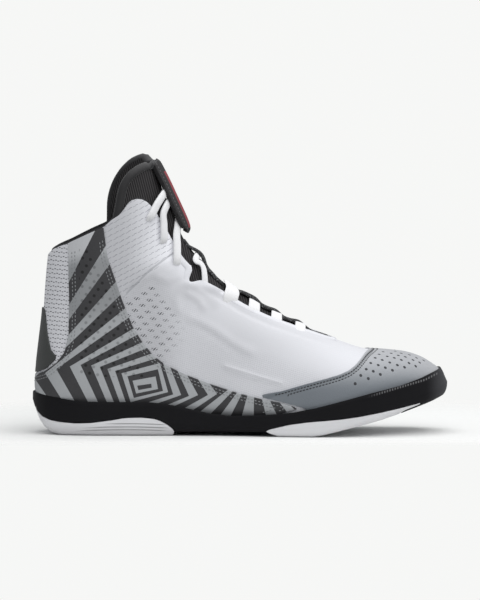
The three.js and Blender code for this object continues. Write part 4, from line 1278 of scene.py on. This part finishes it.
class SHOE_OT_overlays(bpy.types.Operator):
    """The toe cap, the banded side panel and the heel counter, with their stitches and punched holes"""
    bl_idname = "shoe.overlays"
    bl_label = "Overlays"

    def execute(self, context):
        settings = context.scene.shoe
        turns = np.linspace(0, 1, 161)
        self.cap(settings, last_rows(0, 12, 9), turns)
        self.cap_holes()
        self.panel(settings, last_rows(8, 26, 8), turns)
        rows = last_rows(HEEL_CORNER, 25, 10)
        counter = last_patch("heel_moulding", rows, turns, 0.0, lambda p: inside(seen(p), COUNTER))
        moulding = plain("counter_moulding", (0.045, 0.048, 0.046), 0.6)
        finish_sheet(counter, COUNTER_WALL, moulding, "dark_moulding", "heel_counter", inward=False, edge=0.5)
        return {"FINISHED"}

    def cap(self, settings, rows, turns):
        """The toe cap, with a furrow and two rows of dark stitches inside its edge."""
        def area(points, inset=0.0):
            return np.minimum(inside(seen(points), TOE_CAP) - inset, above_line(points, CUP_TOP, -BEHIND_CUP))

        def furrow(points):
            return -0.42 * np.exp(-((near_line(seen(points), CAP_EDGE) - 2.7) / 1.35) ** 2)

        cap = last_patch("toe_overlay", rows, turns, 0.0, area, furrow)
        finish_sheet(cap, CAP_WALL, cap_leather(settings), "grey_leather", "toe_cap", inward=False)
        thread = plain("dark_thread", (0.03, 0.031, 0.034), 0.8)
        for k, inset in enumerate(CAP_INSETS):
            def along_edge(points):
                near = near_line(seen(points), CAP_EDGE) < inset + 0.6
                return near & (above_line(points, CUP_TOP, BEHIND_CUP) > 0)

            runs = seam_runs(rows, turns, 0.66, lambda p: area(p, inset))
            row = stitch_row(f"cap_stitches_{k + 1}", runs, CAP_STITCH, along_edge)
            settle(row, thread, "grey_leather")

    def cap_holes(self):
        """The cap's punched holes, as shallow dark discs just proud of it."""
        clear_selection()
        bpy.ops.mesh.primitive_uv_sphere_add(segments=10, ring_count=4, radius=1)
        hole = bpy.context.object
        places = []
        for px, py in CAP_HOLES:
            row, turn = find_place(px, py)
            for side in (turn, 1 - turn):
                here = on_last(row, side, 0.86)
                up = on_last(row, side, 2.0) - here
                along = on_last(row + 0.1, side) - on_last(row - 0.1, side)
                places.append((to_frame(here), along, up, np.array(HOLE_SIZE) * MM))
        holes = repeated("cap_holes", hole, places)
        smooth(holes, 60)
        settle(holes, plain("hole_shade", (0.05, 0.052, 0.057), 0.9), "grey_leather")

    def panel(self, settings, rows, turns):
        """The banded panel and two rows of pale stitches inside its edge."""
        def area(points, inset=0.0):
            inner = np.minimum(inside(seen(points), WRAP), clear_of_opening(points)) - inset
            return np.minimum(inner, above_line(points, CUP_TOP, -BEHIND_CUP))

        def clear(points):
            off_collar = near_line(seen(points), COLLAR) > COLLAR_CLEAR
            return off_collar & (above_line(points, CUP_TOP, BEHIND_CUP) > 0)

        panel = last_patch("banded_panel", rows, turns, 0.1, area)
        finish_sheet(panel, PANEL_WALL, bands(settings), "banded_film", "side_wrap", inward=False)
        thread = plain("pale_thread", (0.3, 0.31, 0.32), 0.85)
        for k, inset in enumerate(PANEL_INSETS):
            runs = seam_runs(rows, turns, 1.08, lambda p: area(p, inset))
            row = stitch_row(f"panel_stitches_{k + 1}", runs, PANEL_STITCH, clear)
            settle(row, thread, "banded_film")


class SHOE_OT_tongue(bpy.types.Operator):
    """The padded tongue, one flap higher than the other, with its bound edge"""
    bl_idname = "shoe.tongue"
    bl_label = "Tongue"

    def execute(self, context):
        radius = context.scene.shoe.rim_radius

        def keep(points):
            place = seen(points, mirrored=False)
            share = np.clip((points[..., 1] + 6) / 12, 0, 1)
            return inside(place, NEAR_FLAP) * (1 - share) + inside(place, FAR_FLAP) * share - radius / MM

        def crown(points):
            share, height = np.array(CROWN).T
            swell = np.interp(points[..., 0] / LENGTH, share, height, left=0, right=0)
            away = np.abs(points[..., 1] + 0.045 * BALL)
            return swell * np.clip(1 - (away / 9.0) ** 2, 0, 1)

        turns = np.linspace(0.08, 0.92, 151)
        sheet = last_patch("tongue_pad", last_rows(7, LAST_TOP, 8), turns, -WALL - FIT, keep, crown)
        rims = self.rims(sheet, radius)
        finish_sheet(sheet, TONGUE_WALL, black_knit(), "black_knit", "tongue", edge=0.8)
        binding = join("tongue_binding", rims)
        smooth(binding, 60)
        settle(binding, rim_cloth(), "black_knit")
        return {"FINISHED"}

    def rims(self, sheet, radius):
        """The binding round the top of the tongue's open sheet."""
        profile = rounded(2.5 * radius, 2 * radius, 0.5, 14)
        profile[:, 1] -= 1.45 * radius
        rims = []
        for run in borders(sheet):
            place = from_frame(run[:, :3])
            wanted = (place[:, 0] < 0.34 * LENGTH) & (place[:, 2] > 0.64 * HEIGHT)
            for stretch in parts_where(run[:, :3], wanted):
                stretch = evenly(stretch, 3 * MM, 6)
                ups = stretch * [0, 1, 0] - [6 * MM, 0, 0]
                rims.append(sweep("rim", stretch, ups, profile))
        return rims


class SHOE_OT_sole(bpy.types.Operator):
    """The rubber cup and the two treads"""
    bl_idname = "shoe.sole"
    bl_label = "Sole"

    def execute(self, context):
        settings = context.scene.shoe

        def off_treads(points):
            place = seen(points)
            return -np.maximum(inside(place, HEEL_TREAD), inside(place, FORE_TREAD)) - TREAD_GAP

        cup = sole_shell("sole_cup", ARCH_LIFT)
        trim(cup, off_treads)
        finish_sheet(cup, CUP_WALL, rubber(settings), "black_rubber", "outsole_cup", edge=0.5)
        white = tread_rubber(settings)
        for name, outline, node in (("heel_grip", HEEL_TREAD, "heel_tread"),
                                    ("forefoot_grip", FORE_TREAD, "forefoot_tread")):
            grip = sole_shell(name)
            trim(grip, lambda p: inside(seen(p), outline) - TREAD_GAP)
            finish_sheet(grip, TREAD_WALL, white, "white_rubber", node, edge=0.4)
        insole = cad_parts["insole"]
        insole.data.materials.clear()
        insole.data.materials.append(plain("footbed_cloth", (0.06, 0.06, 0.065), 0.95))
        return {"FINISHED"}


def sole_plan(count):
    """The sole's outline in plan as millimetres, outer side then inner side."""
    rows = spline(SOLE_ROWS, np.linspace(0, len(SOLE_ROWS) - 1, count))
    x = rows[:, 0] * LENGTH
    half, mid = np.maximum(rows[:, 1], 0) * BALL, rows[:, 2] * BALL
    outer = np.stack([x, mid - half], axis=1)
    inner = np.stack([x, mid + half], axis=1)[1:-1][::-1]
    return np.concatenate([outer, inner])


def underside(x, arch):
    """How high the sole's underside is at places along the shoe, lifted to the arch over its span."""
    ground = side_points(GROUND)
    share = x / LENGTH
    lifted = arch * HEIGHT * ((share > ARCH_SPAN[0]) & (share < ARCH_SPAN[1]))
    return np.maximum(np.interp(x, ground[:, 0], ground[:, 1]), lifted)


def sole_shell(name, arch=0.0):
    """The sole's side and underside as one open sheet."""
    plan = sole_plan(SOLE_STEPS)
    along = np.roll(plan, -1, axis=0) - np.roll(plan, 1, axis=0)
    along /= np.linalg.norm(along, axis=1, keepdims=True)
    normals = np.stack([-along[:, 1], along[:, 0]], axis=1)
    toeward = np.clip((plan[:, 0] / LENGTH - 0.86) / 0.14, 0, 1)
    toeward = toeward * toeward * (3 - 2 * toeward)
    top = side_points(CUP_TOP)
    rings = []
    for level in np.linspace(0, 1, 22):
        inset, lean = np.interp(level, *SOLE_INSET), np.interp(level, *SOLE_LEAN)
        q = plan + normals * (inset * (1 - 0.7 * toeward) + lean * TOE_LEAN * toeward)[:, None]
        low = underside(q[:, 0], arch)
        high = np.interp(q[:, 0], top[:, 0], top[:, 1])
        rings.append(np.stack([q[:, 0], q[:, 1], low + (high - low) * level], axis=1))
    side = np.stack(rings)
    wall = new_grid(name, to_frame(np.concatenate([side, side[:, :1]], axis=1)))
    foot = rings[0]
    outer = foot[:SOLE_STEPS]
    inner = np.concatenate([foot[:1], foot[SOLE_STEPS:][::-1], foot[SOLE_STEPS - 1:SOLE_STEPS]])
    shares = np.linspace(0, 1, 15)[:, None]
    flat = outer[:, None] * (1 - shares) + inner[:, None] * shares
    flat[..., 2] = underside(flat[..., 0], arch)
    shell = join(name, [wall, new_grid(name + "_under", to_frame(flat))])
    edit(shell, (bpy.ops.mesh.remove_doubles, {"threshold": 0.05 * MM}),
         (bpy.ops.mesh.normals_make_consistent, {"inside": False}))
    face_outwards(shell)
    return shell


class SHOE_OT_laces(bpy.types.Operator):
    """The flat laces, the webbing that keeps them and the tab that covers the knot"""
    bl_idname = "shoe.laces"
    bl_label = "Laces"

    def execute(self, context):
        white = lace_weave(context.scene.shoe)
        for k, (line, nodes) in enumerate(zip(LACES, LACE_NODES)):
            settle(self.lace(f"lace_{k + 1}", *line), white, "white_lace", *nodes)
        settle(self.keeper(), webbing(), "black_webbing", "lace_keeper")
        self.tab()
        return {"FINISHED"}

    def lace(self, name, passes, crossing, width, thick):
        """One lace from its outer eyelet over the throat's middle to its inner eyelet."""
        marks = [(*find_place(px, py), out) for px, py, out in passes]
        marks.append((crossing[0], 0.5, crossing[1]))
        marks += [(row, 1 - turn, out) for row, turn, out in marks[-2::-1]]
        steps = spline(np.array(marks), np.linspace(0, len(marks) - 1, 12 * len(marks)))
        path = np.array([on_last(row, turn, out) for row, turn, out in steps])
        ups = np.array([on_last(row, turn, 3.0) - on_last(row, turn) for row, turn, _ in steps])
        lace = sweep(name, to_frame(path), ups, rounded(width * MM, thick * MM, 0.42, 16))
        smooth(lace, 70)
        return lace

    def keeper(self):
        """The webbing down the throat, rising over the crossings that it holds, its edges bent down."""
        rows, heights = np.array(WEBBING[::-1]).T
        at = np.linspace(rows[-1], rows[0], 170)
        steps = evenly(np.stack([at, np.interp(at, rows, heights)], axis=1), 0.02, 5)
        path = np.array([on_last(row, 0.5, height - 0.6) for row, height in steps])
        ups = np.array([on_last(row, 0.5, 3.0) - on_last(row, 0.5) for row, _ in steps])
        width, thick = np.array(WEBBING_SIZE) * MM
        profile = rounded(width, thick, 0.3, 18)
        profile[:, 1] -= (profile[:, 0] / (width / 2)) ** 2 * WEBBING_BEND * MM
        strip = sweep("keeper_webbing", to_frame(path), ups, profile)
        smooth(strip, 60)
        return strip

    def tab(self):
        """The loose flap at the tongue's top, with its row of edge stitches."""
        table = np.array(TAB_LINE)
        rows = spline(table, np.linspace(0, len(table) - 1, 60))
        x, z = photo_to_side(rows[:, 0], rows[:, 1])
        middle = np.stack([x, x * 0, z - EYE_LIFT], axis=1)
        down = np.gradient(middle, axis=0)
        down /= np.linalg.norm(down, axis=1, keepdims=True)
        out = np.stack([-down[:, 2], down[:, 1], down[:, 0]], axis=1)
        across = np.linspace(-1, 1, 25) * rows[:, 2:3]
        sag = TAB_SAG * (across / TAB_HALF) ** 2
        points = middle[:, None] + across[..., None] * [0, 1, 0] - out[:, None] * sag[..., None]
        flap = new_grid("knot_tab", to_frame(points))
        face_front(flap)
        finish_sheet(flap, TAB_WALL, tab_cloth(), "black_knit", "tongue_tab", edge=0.8)
        guide = new_grid("guide", to_frame(points[2:-2, 2:-2]))
        face_front(guide)
        row = stitch_row("tab_stitches", take_borders(guide), TAB_STITCH, rise=0.05)
        settle(row, plain("tab_thread", (0.16, 0.16, 0.165), 0.85), "black_knit")


def find_place(px, py):
    """The section and turn of the last's outer side that show at a pixel of the photograph."""
    x, z = photo_to_side(px, py)
    best, reach = (12.0, 0.3), (12.0, 0.2)
    for _ in range(7):
        rows = np.clip(np.linspace(best[0] - reach[0], best[0] + reach[0], 25), 0.2, LAST_TOP - 1)
        turns = np.clip(np.linspace(best[1] - reach[1], best[1] + reach[1], 25), 0.05, 0.5)
        points = seen(np.stack([section(row, turns) for row in rows]))
        away = np.hypot(points[..., 0] - x, points[..., 2] - z)
        i, j = np.unravel_index(np.argmin(away), away.shape)
        best, reach = (rows[i], turns[j]), (reach[0] / 5, reach[1] / 5)
    return best


class SHOE_OT_stage(bpy.types.Operator):
    """The pale floor, the soft lights and the camera"""
    bl_idname = "shoe.stage"
    bl_label = "Stage"

    def execute(self, context):
        clear_selection()
        bpy.ops.mesh.primitive_plane_add(size=6, location=(0, 0, -0.0002))
        floor = context.object
        floor.name = "floor"
        floor.data.materials.append(floor_paint())
        self.surroundings(context)
        self.lights(context)
        self.camera(context)
        return {"FINISHED"}

    def surroundings(self, context):
        """Even pale light all round, a little brighter where the camera looks at it."""
        world = bpy.data.worlds.new("studio")
        world.use_nodes = True
        tree = world.node_tree
        even = tree.nodes["Background"]
        even.inputs["Color"].default_value = (0.97, 0.985, 1.0, 1)
        even.inputs["Strength"].default_value = 0.47
        bright = tree.nodes.new("ShaderNodeBackground")
        bright.inputs["Color"].default_value = (0.925, 0.93, 0.92, 1)
        ray = tree.nodes.new("ShaderNodeLightPath")
        blend = tree.nodes.new("ShaderNodeMixShader")
        tree.links.new(ray.outputs["Is Camera Ray"], blend.inputs[0])
        tree.links.new(even.outputs[0], blend.inputs[1])
        tree.links.new(bright.outputs[0], blend.inputs[2])
        tree.links.new(blend.outputs[0], tree.nodes["World Output"].inputs[0])
        context.scene.world = world

    def lights(self, context):
        """Large soft lights above, in front and beyond the toe, aimed at the shoe."""
        for name, place, size, power in LIGHTS:
            bpy.ops.object.light_add(type="AREA", location=place)
            light = context.object
            light.name, light.data.size, light.data.energy = name, size, power
            aim = Vector(LIT_POINT) - Vector(place)
            light.rotation_euler = aim.to_track_quat("-Z", "Y").to_euler()

    def camera(self, context):
        """The viewer of the photograph, level with the shoe and slightly above it."""
        away = EYE_AWAY * MM
        target = Vector(((EYE_AT[0] - HEEL_REST) * MM, 0, EYE_AT[1] * MM))
        spot = target + Vector((0, -math.cos(EYE_RISE), math.sin(EYE_RISE))) * away
        bpy.ops.object.camera_add(location=spot)
        camera = context.object
        camera.rotation_euler = (target - spot).to_track_quat("-Z", "Y").to_euler()
        camera.data.sensor_width = SENSOR
        camera.data.lens = PX_PER_MM / MM * away * SENSOR / PHOTO_HEIGHT
        camera.data.shift_y = -EYE_LIFT * PX_PER_MM / PHOTO_HEIGHT
        context.scene.camera = camera
        context.scene.view_settings.view_transform = "Standard"


def floor_paint():
    """A pale matt floor that fades into the backdrop away from the shoe."""
    pale = (0.88, 0.885, 0.875, 1)
    made = Finish("floor_paint", roughness=0.95, base_color=pale, specular_ior_level=0.05)
    x, y, _ = made.place()
    across = (abs(x - 0.095) - 0.145).either(0)
    ahead = (-0.046 - y).either(0).either((y - 0.15) * 0.5)
    away = (across * across + ahead * ahead).math("SQRT")
    tree = made.tree
    clear = tree.nodes.new("ShaderNodeBsdfTransparent")
    blend = tree.nodes.new("ShaderNodeMixShader")
    tree.links.new(away.step(0.0, 0.075).socket, blend.inputs[0])
    tree.links.new(made.shader.outputs[0], blend.inputs[1])
    tree.links.new(clear.outputs[0], blend.inputs[2])
    tree.links.new(blend.outputs[0], tree.nodes["Material Output"].inputs[0])
    return made.material


class SHOE_PT_panel(bpy.types.Panel):
    """Lists the shoe's settings and steps."""
    bl_label = "Wrestling shoe"
    bl_idname = "SHOE_PT_panel"
    bl_space_type = "VIEW_3D"
    bl_region_type = "UI"
    bl_category = "Shoe"

    def draw(self, context):
        for name in ShoeSettings.__annotations__:
            self.layout.prop(context.scene.shoe, name)
        for step in STEPS:
            self.layout.operator(step.bl_idname)


STEPS = (SHOE_OT_stage, SHOE_OT_sole, SHOE_OT_knit_upper, SHOE_OT_overlays, SHOE_OT_tongue, SHOE_OT_laces)
CLASSES = (ShoeSettings, *STEPS, SHOE_PT_panel)


def register():
    for cls in CLASSES:
        bpy.utils.register_class(cls)
    bpy.types.Scene.shoe = bpy.props.PointerProperty(type=ShoeSettings)


def unregister():
    del bpy.types.Scene.shoe
    for cls in reversed(CLASSES):
        bpy.utils.unregister_class(cls)


def main():
    register()
    bpy.ops.shoe.stage()
    bpy.ops.shoe.sole()
    bpy.ops.shoe.knit_upper()
    bpy.ops.shoe.overlays()
    bpy.ops.shoe.tongue()
    bpy.ops.shoe.laces()


if __name__ == "__main__":
    main()
